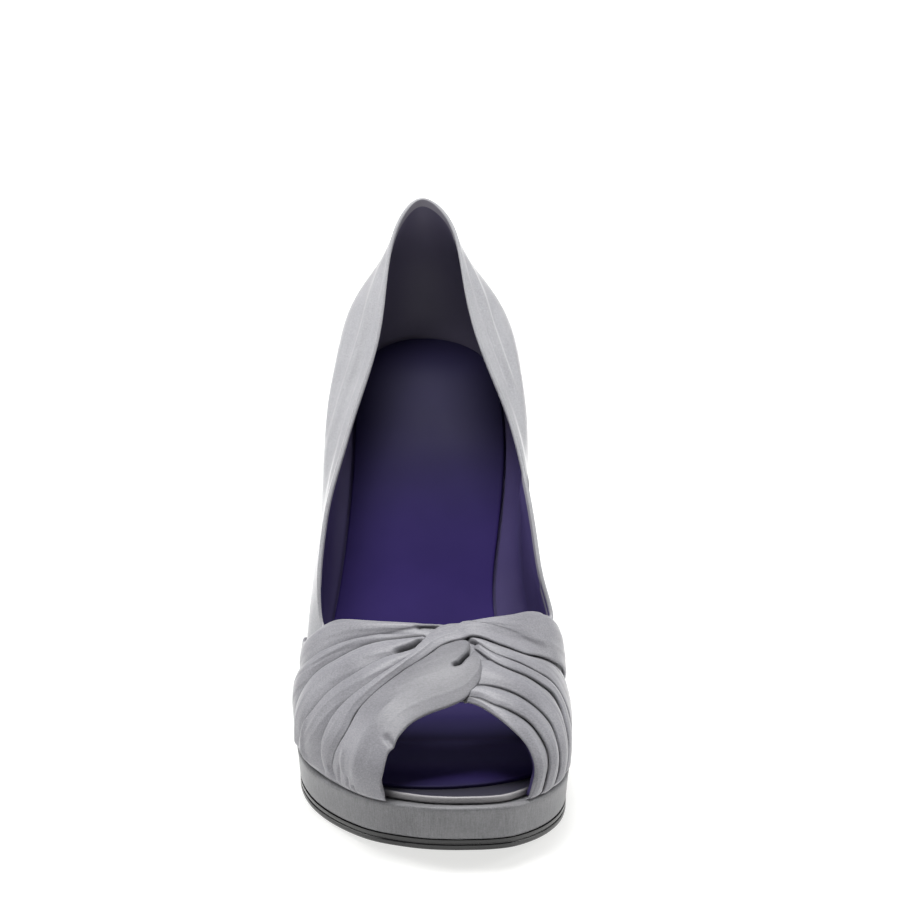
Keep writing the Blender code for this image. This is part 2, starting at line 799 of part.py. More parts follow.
def build_heel(slot):
    half = turn_of(HEEL_BREAST / LENGTH, 1)
    turns = np.linspace(half, -half, 29)
    cup = seat_plan(turns)
    front = 8
    top_z = LIFT_HEIGHT + GAP
    seat_length = LENGTH - HEEL_BREAST
    rings = []
    across = np.linspace(-1, 1, front + 1)[1:-1]

    def close(arc_x, arc_y, z_of):
        xs = list(arc_x)
        ys = list(arc_y)
        for share in across:
            middle = (arc_x[-1] - arc_x[0]) * (share + 1) / 2
            xs.append(arc_x[-1] - middle)
            ys.append((arc_y[0] + arc_y[-1]) / 2)
        return [(x, y, z) for x, y, z in zip(xs, ys, z_of(np.array(ys)))]

    shares = [row[0] for row in STEM]
    levels = np.unique(np.concatenate([np.linspace(0, 0.95, 15)]))
    for up in levels:
        front_y = HEEL_BREAST + seat_length * float(spline(shares, column(STEM, 1), up))
        back_y = HEEL_BREAST + seat_length * float(spline(shares, column(STEM, 2), up))
        wide = BALL * float(spline(shares, column(STEM, 3), up))
        angles = np.linspace(-0.68 * math.pi, 0.68 * math.pi, len(turns))
        centre = (front_y + back_y) / 2
        reach = (back_y - centre)
        oval_x = wide * np.sin(angles)
        oval_y = centre + reach * np.cos(angles)
        blend = smooth_step((up - 0.45) / 0.55)
        scale_x = wide / (0.33 * BALL)
        cup_y = front_y + (cup[:, 1] - cup[0, 1]) * (back_y - front_y) / (cup[:, 1].max() - cup[0, 1])
        arc_x = (1 - blend) * oval_x + blend * cup[:, 0] * scale_x
        arc_y = (1 - blend) * oval_y + blend * cup_y
        tilt = smooth_step((up - 0.25) / 0.75)

        def z_of(ys, up=up, tilt=tilt, centre=centre):
            level = seat(centre)
            slope = seat(ys) - level
            return top_z + (level - GAP - top_z) * up + slope * tilt

        rings.append(close(arc_x, arc_y, z_of))
    rings.append(close(cup[:, 0], cup[:, 1], lambda ys: seat(ys) - 0.0022))
    rings.append(close(cup[:, 0], cup[:, 1], lambda ys: seat(ys)))
    return ring_loft("heel", rings, slot)


def ring_loft(name, rings, slot):
    # Solid between stacked closed rings, capped by strips across the first and last ring.
    points = [p for ring in rings for p in ring]
    per = len(rings[0])
    faces = []
    for r in range(len(rings) - 1):
        for k in range(per):
            n = (k + 1) % per
            faces.append([r * per + k, r * per + n, (r + 1) * per + n, (r + 1) * per + k])
    faces.append([k for k in range(per)])
    faces.append([(len(rings) - 1) * per + k for k in range(per)])
    return make_object(name, points, faces, slot)


def build_top_lift(slot):
    seat_length = LENGTH - HEEL_BREAST
    middle = HEEL_BREAST + seat_length * (STEM[0][1] + STEM[0][2]) / 2
    angles = np.linspace(0, 2 * math.pi, 37)[:-1]
    rings = []
    for z, shrink in ((0.0, 0.0004), (0.0004, 0.0), (LIFT_HEIGHT, 0.0)):
        x = (LIFT_WIDTH / 2 - shrink) * np.sin(angles)
        y = middle + np.maximum((LIFT_LENGTH / 2 - shrink) * np.cos(angles), -0.30 * LIFT_LENGTH)
        rings.append([(a, b, z) for a, b in zip(x, y)])
    return ring_loft("top_lift", rings, slot)


GREY_SATIN = material("grey_satin", (0.30, 0.29, 0.29), 0.42)
BLACK_SOLE = material("black_sole", (0.012, 0.012, 0.013), 0.30)
LIFT_RUBBER = material("lift_rubber", (0.02, 0.02, 0.02), 0.55)
PURPLE_SOCK = material("purple_sock", (0.035, 0.020, 0.095), 0.40)
INSOLE_EDGE = material("insole_satin", (0.36, 0.35, 0.36), 0.40)
LINING_SATIN = material("upper_satin", (0.34, 0.33, 0.33), 0.42)

build_outsole(BLACK_SOLE)
build_platform(GREY_SATIN)
build_heel(GREY_SATIN)
build_top_lift(LIFT_RUBBER)
build_insole(INSOLE_EDGE)
build_sock(PURPLE_SOCK)
build_upper(LINING_SATIN)
build_vamp_drape(GREY_SATIN)
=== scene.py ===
# Looks of one right peep toe pump in grey silk satin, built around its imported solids.
# X is across, plus X the inner side of the foot. Y runs from toe to heel. Z is up, floor at 0.
# Tables and functions count Y from the toe. Each piece is then placed with its origin at the tread.

import math

import bpy
import bmesh
import numpy as np
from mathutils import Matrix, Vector

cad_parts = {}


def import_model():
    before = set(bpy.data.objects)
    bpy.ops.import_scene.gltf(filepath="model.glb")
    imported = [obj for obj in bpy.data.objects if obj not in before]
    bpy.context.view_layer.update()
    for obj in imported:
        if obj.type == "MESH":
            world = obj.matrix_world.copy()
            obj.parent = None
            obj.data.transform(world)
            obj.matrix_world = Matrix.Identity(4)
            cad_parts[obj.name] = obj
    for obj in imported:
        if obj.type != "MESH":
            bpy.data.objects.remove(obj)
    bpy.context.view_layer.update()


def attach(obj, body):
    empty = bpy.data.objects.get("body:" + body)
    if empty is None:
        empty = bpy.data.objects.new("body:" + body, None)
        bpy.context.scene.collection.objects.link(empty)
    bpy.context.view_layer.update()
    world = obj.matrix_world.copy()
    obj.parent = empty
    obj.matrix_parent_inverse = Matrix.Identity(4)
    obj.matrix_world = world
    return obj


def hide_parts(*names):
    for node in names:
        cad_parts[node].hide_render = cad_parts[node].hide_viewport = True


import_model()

# Driving sizes of the shoe, in metres, as in the solids
LENGTH = 0.205          # base outline, toe edge to back of heel seat, along the floor
BALL = 0.085            # base outline, width across the ball
INSTEP = 0.0385         # throat point above the top of the platform
COUNTER = 0.0565        # centre back of the quarters above the heel seat
HEEL_RISE = 0.093       # heel seat above the top of the platform
TOE_SPRING = 0.006      # lift of the toe tip
PLATFORM = 0.011        # height of the platform
OUTSOLE = 0.0035        # thickness of the outsole under the ball
SHANK_SOLE = 0.0022     # thickness of the outsole under the waist
INSOLE = 0.0024         # thickness of the insole board
SOCK = 0.0009           # thickness of the sock
SOCK_FRONT = 0.0144     # front edge of the sock, from the toe
SOCK_CURVE = 0.0394     # radius of that edge
WALL = 0.0018           # wall of the upper, with its lining
GAP = 0.0003            # clearance between pieces that touch
WELT = 0.0018           # platform edge outside the upper
SIDE_TAPER = 0.0009     # platform side leans in by this much
LIFT_HEIGHT = 0.0060    # top lift under the heel
LIFT_LENGTH = 0.0125    # top lift, front to back
LIFT_WIDTH = 0.0115     # top lift, side to side
HEEL_BREAST = 0.150     # front of the heel, from the toe
PLATFORM_END = 0.110    # back edge of the platform, from the toe
FLAT_START = 0.046      # tread lies flat on the floor from here
FLAT_END = 0.072        # to here

BASE = OUTSOLE + GAP + PLATFORM
TREAD_MIDDLE = (FLAT_START + FLAT_END) / 2
BULGE_SHARE = 0.30      # share of the wall that lies below its widest line
ROUND = 0.5523          # handle of the curve that comes nearest to a quarter circle
TOE_CURVE = 2.2         # power by which the toe spring grows
HEM_CURVE = 2.2         # power by which the overlay's hem runs back to its foot
THINS = 0.74            # share of PLATFORM_END where the platform starts to thin out
GONE = 1.06             # share of it where the platform is gone
CLOSES = 0.97           # share of it where the gap under the platform starts to close
CLOSING = 0.08          # over this much of it
TUCK_START = 0.55       # share of it where platform and sole start to draw in under the upper
TUCK_OVER = 0.45        # over this much of it
TIP = 0.0002            # fine outlines start and end this near to the toe and the heel
MM = 0.001

# Base outline: share of LENGTH, then lateral and medial shares of BALL
OUTLINE = (
    # along, lateral, medial
    (0.000, 0.106, 0.106),
    (0.0146, -0.070, 0.256),
    (0.034, -0.150, 0.310),
    (0.063, -0.243, 0.368),
    (0.107, -0.335, 0.433),
    (0.156, -0.415, 0.480),
    (0.220, -0.490, 0.504),
    (0.293, -0.527, 0.500),
    (0.366, -0.519, 0.464),
    (0.439, -0.485, 0.380),
    (0.527, -0.426, 0.298),
    (0.610, -0.380, 0.318),
    (0.693, -0.350, 0.353),
    (0.771, -0.336, 0.365),
    (0.839, -0.330, 0.355),
    (0.902, -0.301, 0.322),
    (0.951, -0.238, 0.256),
    (1.000, 0.000, 0.000),
)

# Heel pitch: share of LENGTH, then share of HEEL_RISE
PITCH = (
    # along, rise
    (0.000, 0.0),
    (0.200, 0.0),
    (0.351, 0.0),
    (0.380, 0.016),
    (0.454, 0.106),
    (0.527, 0.250),
    (0.600, 0.417),
    (0.673, 0.583),
    (0.746, 0.729),
    (0.820, 0.844),
    (0.893, 0.927),
    (1.000, 1.0),
)

# Ridge of the vamp from the peep toe to the throat point: shares of LENGTH, BALL and INSTEP
RIDGE = (
    # station, along, across, up
    (0, 0.149, 0.090, 0.695),
    (1, 0.187, 0.089, 0.797),
    (2, 0.225, 0.087, 0.882),
    (3, 0.266, 0.084, 0.950),
    (4, 0.310, 0.080, 1.000),
)

# Foot of each station on the outline, and the widest line of the wall above it
# along: share of LENGTH; out: share of BALL past the outline; up: share of INSTEP
LATERAL_FOOT = (
    # station, along, out, up
    (0, 0.056, 0.004, 0.17),
    (1, 0.098, -0.002, 0.22),
    (2, 0.156, -0.006, 0.25),
    (3, 0.220, -0.006, 0.26),
    (4, 0.278, -0.006, 0.27),
    (5, 0.317, -0.004, 0.29),
    (6, 0.351, 0.000, 0.31),
    (7, 0.385, 0.008, 0.33),
    (8, 0.420, 0.021, 0.35),
    (9, 0.459, 0.032, 0.38),
    (10, 0.502, 0.044, 0.40),
    (11, 0.556, 0.056, 0.43),
    (12, 0.615, 0.074, 0.46),
    (13, 0.676, 0.087, 0.47),
    (14, 0.737, 0.087, 0.46),
    (15, 0.795, 0.069, 0.43),
    (16, 0.854, 0.050, 0.40),
    (17, 0.915, 0.045, 0.38),
    (18, 0.966, 0.045, 0.37),
    (19, 1.000, 0.046, 0.37),
)
MEDIAL_FOOT = (
    # station, along, out, up
    (0, 0.042, 0.004, 0.15),
    (1, 0.098, -0.002, 0.22),
    (2, 0.156, -0.006, 0.25),
    (3, 0.220, -0.006, 0.26),
    (4, 0.278, 0.000, 0.27),
    (5, 0.317, 0.010, 0.29),
    (6, 0.351, 0.027, 0.31),
    (7, 0.385, 0.054, 0.34),
    (8, 0.420, 0.078, 0.37),
    (9, 0.459, 0.100, 0.40),
    (10, 0.502, 0.113, 0.43),
    (11, 0.556, 0.110, 0.46),
    (12, 0.615, 0.095, 0.48),
    (13, 0.676, 0.082, 0.48),
    (14, 0.737, 0.066, 0.46),
    (15, 0.795, 0.055, 0.43),
    (16, 0.854, 0.053, 0.40),
    (17, 0.915, 0.048, 0.38),
    (18, 0.966, 0.046, 0.37),
    (19, 1.000, 0.046, 0.37),
)

# Throat edge from the throat point to its corners: shares of LENGTH, BALL and INSTEP
THROAT = (
    # station, along, lateral, medial, lateral up, medial up, lean in degrees
    (4, 0.310, 0.080, 0.080, 1.010, 1.010, 0),
    (5, 0.318, -0.095, 0.200, 1.015, 1.025, 4),
    (6, 0.335, -0.255, 0.300, 1.000, 1.025, 14),
    (7, 0.362, -0.366, 0.392, 0.942, 0.992, 32),
    (8, 0.395, -0.430, 0.468, 0.870, 0.905, 52),
)

# Topline from the corners to the centre back: shares of LENGTH, BALL and COUNTER
TOPLINE = (
    # station, along, lateral, medial, lateral up, medial up, lean in degrees
    (9, 0.439, -0.446, 0.440, 0.655, 0.655, 66),
    (10, 0.488, -0.434, 0.420, 0.695, 0.695, 70),
    (11, 0.546, -0.406, 0.400, 0.687, 0.687, 70),
    (12, 0.610, -0.354, 0.370, 0.645, 0.645, 66),
    (13, 0.673, -0.298, 0.325, 0.610, 0.610, 60),
    (14, 0.732, -0.236, 0.260, 0.618, 0.618, 54),
    (15, 0.790, -0.190, 0.205, 0.652, 0.652, 50),
    (16, 0.849, -0.166, 0.172, 0.725, 0.725, 54),
    (17, 0.907, -0.142, 0.152, 0.822, 0.822, 66),
    (18, 0.953, -0.092, 0.104, 0.930, 0.930, 76),
    (19, 0.975, 0.000, 0.000, 1.000, 1.000, 80),
)

# Front edge of the overlay at the peep toe: the station it has at shares up the wall
PEEP_EDGE = (
    # up, lateral, medial
    (0.00, 0.00, 0.00),
    (0.18, 0.05, 0.12),
    (0.38, 0.10, 0.28),
    (0.50, 0.10, 0.26),
    (0.64, 0.05, 0.12),
    (0.80, 0.00, 0.00),
    (1.00, 0.00, 0.00),
)

# Heel: share of the stem's height from the lift, then shares of the seat's length and BALL
STEM = (
    # up, front, back, half width
    (0.00, 0.560, 0.790, 0.066),
    (0.16, 0.545, 0.800, 0.068),
    (0.36, 0.500, 0.832, 0.075),
    (0.54, 0.430, 0.872, 0.090),
    (0.68, 0.345, 0.915, 0.120),
    (0.79, 0.245, 0.955, 0.168),
    (0.88, 0.135, 0.982, 0.228),
    (0.95, 0.045, 0.996, 0.282),
)

# Sizes of the cloth
PEEP_TUCK = 0.25        # the upper stops this far, in stations, behind the overlay's front edge
DRAPE_END = 10.35       # foot of the overlay's back edge, as a station
DRAPE_CORNER = 7.6      # its corner on the topline, as a station
BINDING = 0.0026        # satin turned over the topline, down the inner side
PIPING = 0.0006         # radius of the soft roll along the topline
RIM = 0.0011            # thickness of the rolled topline
BASE_CLOTH = 0.0006     # height of the flat satin under the folds, over the last
UNDER = 0.0001          # height of a fold's underside over the last
LIP = 0.00055           # radius of a folded edge
HOLLOW = 0.0014         # depth of the hollow under a folded edge


def spline(xs, ys, at):
    # Natural cubic spline through a table's column.
    xs = np.asarray(xs, float)
    ys = np.asarray(ys, float)
    n = len(xs)
    h = np.diff(xs)
    a = np.eye(n)
    b = np.zeros(n)
    for i in range(1, n - 1):
        a[i, i - 1] = h[i - 1]
        a[i, i] = 2 * (h[i - 1] + h[i])
        a[i, i + 1] = h[i]
        b[i] = 6 * ((ys[i + 1] - ys[i]) / h[i] - (ys[i] - ys[i - 1]) / h[i - 1])
    m = np.linalg.solve(a, b)
    at = np.clip(np.asarray(at, float), xs[0], xs[-1])
    k = np.clip(np.searchsorted(xs, at, side="right") - 1, 0, n - 2)
    t = at - xs[k]
    slope = (ys[k + 1] - ys[k]) / h[k] - h[k] * (2 * m[k] + m[k + 1]) / 6
    return ys[k] + t * (slope + t * (m[k] / 2 + t * (m[k + 1] - m[k]) / (6 * h[k])))


def monotone(xs, ys, at):
    # Cubic through a table's column that never overshoots, so a flat stretch stays flat.
    xs = np.asarray(xs, float)
    ys = np.asarray(ys, float)
    h = np.diff(xs)
    d = np.diff(ys) / h
    m = np.zeros(len(xs))
    for i in range(1, len(xs) - 1):
        if d[i - 1] * d[i] > 0:
            w0 = 2 * h[i] + h[i - 1]
            w1 = h[i] + 2 * h[i - 1]
            m[i] = (w0 + w1) / (w0 / d[i - 1] + w1 / d[i])
    m[-1] = d[-1]
    at = np.clip(np.asarray(at, float), xs[0], xs[-1])
    k = np.clip(np.searchsorted(xs, at, side="right") - 1, 0, len(xs) - 2)
    t = (at - xs[k]) / h[k]
    rise = (t * t * (3 - 2 * t)) * (ys[k + 1] - ys[k])
    return ys[k] + rise + h[k] * t * (1 - t) * ((1 - t) * m[k] - t * m[k + 1])


def unit(vectors):
    return vectors / np.maximum(np.linalg.norm(vectors, axis=-1, keepdims=True), 1e-12)


def column(table, index):
    return np.array([row[index] for row in table], float)


def smooth_step(x):
    x = np.clip(x, 0.0, 1.0)
    return x * x * (3 - 2 * x)


# Sole surfaces, as heights over the floor at a distance from the toe

def pitch(y):
    spring = TOE_SPRING * np.clip((FLAT_START - y) / FLAT_START, 0, None) ** TOE_CURVE
    return spring + HEEL_RISE * monotone(column(PITCH, 0) * LENGTH, column(PITCH, 1), y)


def seat(y):
    return BASE + pitch(y)


def platform_height(y):
    start = THINS * PLATFORM_END
    return PLATFORM * (1 - smooth_step((y - start) / (GONE * PLATFORM_END - start)))


def sole_top(y):
    end = smooth_step((y - CLOSES * PLATFORM_END) / (CLOSING * PLATFORM_END))
    return seat(y) - platform_height(y) - GAP * (1 - end)


def sole_bottom(y):
    thin = smooth_step((y - FLAT_END) / (PLATFORM_END - FLAT_END))
    return sole_top(y) - OUTSOLE - (SHANK_SOLE - OUTSOLE) * thin


# Base outline as one loop: turn is 0 at the back, plus pi or minus pi at the toe

def outline_point(turn):
    angles = np.arccos(1 - 2 * column(OUTLINE, 0))
    lateral = column(OUTLINE, 1)
    medial = column(OUTLINE, 2)
    loop = np.concatenate([angles - math.pi, (math.pi - angles)[::-1][1:]])
    across = np.concatenate([medial, lateral[::-1][1:]])
    x = BALL * spline(loop, across, turn)
    y = LENGTH * (1 + np.cos(turn)) / 2
    return np.stack([x, y], axis=-1)


def outline_normal(turn):
    step = 0.004
    turn = np.clip(turn, step - math.pi, math.pi - step)
    d = outline_point(turn + step) - outline_point(turn - step)
    n = np.stack([d[..., 1], -d[..., 0]], axis=-1)
    return n / np.linalg.norm(n, axis=-1, keepdims=True)


def outline_inset(turn, inset):
    return outline_point(turn) - outline_normal(turn) * np.asarray(inset)[..., None]


def turn_of(along, side):
    return side * (math.pi - math.acos(1 - 2 * along))


# Last surface of the upper. side is +1 lateral, -1 medial; station runs 0 to 19; v runs 0 to 1.

LAST_STATION = 19
THROAT_STATION = 4
FOOT_OUT = 0.8          # reach of the foot's curve towards the widest line
FOOT_UP = 0.32          # its rise, as a share of the widest line's height
BULGE_DOWN = 0.42       # drop of the curve below the widest line, as such a share
TURN_STATIONS = 4.5     # stations over which the wall turns from the ridge to the topline


def hands(side):
    return (LATERAL_FOOT, MEDIAL_FOOT) if side > 0 else (MEDIAL_FOOT, LATERAL_FOOT)


def foot_columns(side):
    # Station, turn, out and up of one side, and on round the heel along the other.
    near, far = hands(side)
    back = far[-2::-1]
    stations = [row[0] for row in near] + [2 * LAST_STATION - row[0] for row in back]
    turns = [turn_of(row[1], 1) for row in near] + [-turn_of(row[1], 1) for row in back]
    outs, ups = ([row[k] for row in near + back] for k in (2, 3))
    return stations, turns, outs, ups


def top_loop(side):
    # Station, place and lean of the throat edge and topline, on round the heel as well.
    near, far = (2, 3) if side > 0 else (3, 2)
    rows = THROAT + TOPLINE
    loop = [(row[0], row, near) for row in rows]
    loop += [(2 * LAST_STATION - row[0], row, far) for row in rows[-2::-1]]
    table = []
    for station, row, hand in loop:
        y = row[1] * LENGTH
        low, size = (BASE, INSTEP) if row in THROAT else (float(seat(y)), COUNTER)
        table.append((station, row[hand] * BALL, y, low + size * row[hand + 2], row[6]))
    return table


FEET = {side: foot_columns(side) for side in (1, -1)}
TOPS = {side: top_loop(side) for side in (1, -1)}


def guides(side, station):
    # Foot, widest point, top point, end direction and its lean, for stations of one side.
    station = np.asarray(station, float)
    stations, turns, outs, ups = FEET[side]
    turn = spline(stations, turns, station) * side
    foot = outline_inset(turn, np.full(turn.shape, WELT))
    normal = outline_normal(turn)
    out = BALL * spline(stations, outs, station)
    up = INSTEP * spline(stations, ups, station)
    bottom = seat(foot[..., 1]) + GAP
    widest = foot + normal * out[..., None]
    ridge_at = np.clip(station, 0, THROAT_STATION)
    along, across, high = (spline(column(RIDGE, 0), column(RIDGE, k), ridge_at) for k in (1, 2, 3))
    ridge = np.stack([BALL * across, LENGTH * along, BASE + INSTEP * high], axis=-1)
    table = TOPS[side]
    edge_at = np.clip(station, THROAT_STATION, None)
    stations = column(table, 0)
    edge = np.stack([spline(stations, column(table, i), edge_at) for i in (1, 2, 3)], axis=-1)
    lean = np.radians(spline(stations, column(table, 4), edge_at))
    on_ridge = (station <= THROAT_STATION)[..., None]
    top = np.where(on_ridge, ridge, edge)
    lean = np.where(station <= THROAT_STATION, 0.0, lean)
    return foot, bottom, widest, bottom + up, top, lean


def bezier(a, b, c, d, t):
    s = 1 - t
    return a * s ** 3 + b * 3 * s * s * t + c * 3 * s * t * t + d * t ** 3


def last_point(side, station, v):
    # Point of the upper's outer surface.
    station, v = np.broadcast_arrays(np.asarray(station, float), np.asarray(v, float))
    foot, bottom, widest, level, top, lean = guides(side, station)
    z_up = np.array([0.0, 0.0, 1.0])
    f = np.concatenate([foot, bottom[..., None]], axis=-1)
    b = np.concatenate([widest, level[..., None]], axis=-1)
    rise_low = (level - bottom)[..., None]
    f1 = f + (b - f) * np.array([FOOT_OUT, FOOT_OUT, 0.0]) + z_up * rise_low * FOOT_UP
    f2 = b - z_up * rise_low * BULGE_DOWN
    flat = (top - b) * np.array([1.0, 1.0, 0.0])
    reach = np.linalg.norm(flat, axis=-1, keepdims=True)
    towards = flat / np.maximum(reach, 1e-6)
    sideways = np.array([float(side), 0.0, 0.0])
    turn_in = smooth_step((station - THROAT_STATION) / TURN_STATIONS)[..., None]
    towards = sideways * (1 - turn_in) + towards * turn_in
    towards = towards / np.linalg.norm(towards, axis=-1, keepdims=True)
    reach = reach * turn_in + np.abs(flat[..., :1]) * (1 - turn_in)
    height = (top - b)[..., 2:]
    lean = lean[..., None]
    end = towards * np.cos(lean) + z_up * np.sin(lean)
    length = reach * np.cos(lean) + height * np.sin(lean)
    t1 = b + z_up * height * ROUND
    t2 = top - end * length * ROUND
    low = np.clip(v / BULGE_SHARE, 0, 1)[..., None]
    high = np.clip((v - BULGE_SHARE) / (1 - BULGE_SHARE), 0, 1)[..., None]
    p_low = bezier(f, f1, f2, b, low)
    p_high = bezier(b, t1, t2, top, high)
    return np.where((v < BULGE_SHARE)[..., None], p_low, p_high)


# Chart of the vamp. s runs from -1 at the lateral foot over the ridge at 0 to 1 at the medial foot.

BLEND_REACH = 0.8       # the last is smoothed this far, in stations, round the throat point
BLEND_STRIDE = 0.5      # over this many stations to each side at the most
BLEND_STEPS = 11        # places averaged for that
BLEND_WINDOW = 0.95     # share of a half wave that weights them
SLOPE_STEP = 0.15       # stations over which the last's slope at the peep edge is read
SHARE_STEP = 0.004      # steps for normals, as a share up the wall
STATION_STEP = 0.03     # and in stations
THROAT_STRIDE = 0.35    # more of that beside the throat point
STRIDE_REACH = 1.4      # within this many stations
THROAT_NEAR = (3.3, 0.7)    # beside the throat normals are read lower, from here on, over so much
THROAT_PAST = (8.2, 1.5)    # and up to here
THROAT_INWARD = 0.06    # by this share up the wall


def soft_last(side, station, v):
    # The last, smoothed along the foot where vamp and quarters meet at the throat point.
    out = last_point(side, station, v)
    near = np.abs(station - THROAT_STATION) < BLEND_REACH
    if near.any():
        t = station[near]
        reach = BLEND_STRIDE * smooth_step(1 - np.abs(t - THROAT_STATION) / BLEND_REACH)
        steps = np.linspace(-1, 1, BLEND_STEPS)
        weights = np.cos(steps * math.pi / 2 * BLEND_WINDOW)
        weights = weights / weights.sum()
        places = [last_point(side, t + reach * k, v[near]) for k in steps]
        out[near] = sum(w * place for w, place in zip(weights, places))
    return out


def chart_point(s, t, lateral):
    # Point of the last for chart places, all of them read on the side that lateral names.
    v = np.clip(1 - np.abs(s), 0, 1)
    front = np.clip(t, 0, None)
    out = np.zeros(s.shape + (3,))
    for side, mine in ((1, lateral), (-1, ~lateral)):
        if not mine.any():
            continue
        at = soft_last(side, front[mine], v[mine])
        before = np.clip(t[mine], None, 0)[:, None]
        root = last_point(side, np.zeros(mine.sum()), v[mine])
        slope = (last_point(side, np.full(mine.sum(), SLOPE_STEP), v[mine]) - root) / SLOPE_STEP
        out[mine] = at + slope * before
    return out


def chart(s, t):
    # Point and outward normal of the last at chart places.
    s, t = np.broadcast_arrays(np.asarray(s, float), np.asarray(t, float))
    shape = s.shape
    s = s.ravel()
    t = t.ravel()
    lateral = s <= 0
    point = chart_point(s, t, lateral)
    # Close to the throat edge the chart's two directions draw together: its normal is read lower.
    near, past = THROAT_NEAR, THROAT_PAST
    throat = smooth_step((t - near[0]) / near[1]) * smooth_step((past[0] - t) / past[1])
    inward = np.maximum(np.abs(s), THROAT_INWARD * throat)
    s = np.where(lateral, -inward, inward)
    least = np.where(lateral, -1, 0)
    low = np.clip(s - SHARE_STEP, least, least + 1)
    high = np.clip(s + SHARE_STEP, least, least + 1)
    across = chart_point(high, t, lateral) - chart_point(low, t, lateral)
    beside = smooth_step(1 - np.abs(t - THROAT_STATION) / STRIDE_REACH)
    stride = STATION_STEP + THROAT_STRIDE * beside
    along = chart_point(s, t + stride, lateral) - chart_point(s, t - stride, lateral)
    return point.reshape(shape + (3,)), unit(np.cross(across, along)).reshape(shape + (3,))


# Mesh helpers

def add_object(name, points, faces, slot_material, sharp):
    # A smooth shaded piece, with edges kept sharp from an angle in degrees.
    mesh = bpy.data.meshes.new(name)
    shifted = np.asarray(points, float) - np.array([0.0, TREAD_MIDDLE, 0.0])
    mesh.from_pydata(shifted.tolist(), [], faces)
    work = bmesh.new()
    work.from_mesh(mesh)
    bmesh.ops.recalc_face_normals(work, faces=work.faces)
    work.to_mesh(mesh)
    work.free()
    for face in mesh.polygons:
        face.use_smooth = True
    mesh.set_sharp_from_angle(angle=math.radians(sharp))
    mesh.materials.append(slot_material)
    piece = bpy.data.objects.new(name, mesh)
    bpy.context.scene.collection.objects.link(piece)
    return piece


def paint(piece, name, values):
    # Gives a mesh a number at each point, for its material to read.
    layer = piece.data.attributes.new(name, "FLOAT", "POINT")
    layer.data.foreach_set("value", np.asarray(values, np.float32).ravel())


def grid_faces(rows, columns, wrap=False):
    # Quads of a grid of points, its columns closed into a ring where wrap is true.
    i = np.arange(rows - 1)[:, None]
    j = np.arange(columns if wrap else columns - 1)[None, :]
    n = (j + 1) % columns
    a = i * columns + j
    b = i * columns + n
    c = (i + 1) * columns + n
    d = (i + 1) * columns + j
    return np.stack([a, b, c, d], axis=-1).reshape(-1, 4).tolist()


def strip_cap(first, count):
    # Quads that close a ring of an even number of points, straight across it.
    last = first + count - 1
    return [[first + k, first + k + 1, last - 1 - k, last - k] for k in range(count // 2 - 1)]


def one_face(first, count):
    return [list(range(first, first + count))]


def stacked(name, rings, slot_material, cap, sharp):
    # Closed form of rings one after another, with the cap's faces over the first and the last.
    per = len(rings[0])
    faces = grid_faces(len(rings), per, wrap=True)
    for first in (0, (len(rings) - 1) * per):
        faces += cap(first, per)
    return add_object(name, np.concatenate(rings), faces, slot_material, sharp)


def dress(piece, node, slot_name):
    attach(piece, "root")
    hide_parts(node)


# Looks: materials made of nodes

def material(name, colour, roughness, sockets=()):
    slot_material = bpy.data.materials.new(name)
    slot_material.use_nodes = True
    shader = slot_material.node_tree.nodes["Principled BSDF"]
    shader.inputs["Base Color"].default_value = (*colour, 1.0)
    shader.inputs["Roughness"].default_value = roughness
    for socket, value in sockets:
        shader.inputs[socket].default_value = value
    slot_material.diffuse_color = (*colour, 1.0)
    return slot_material


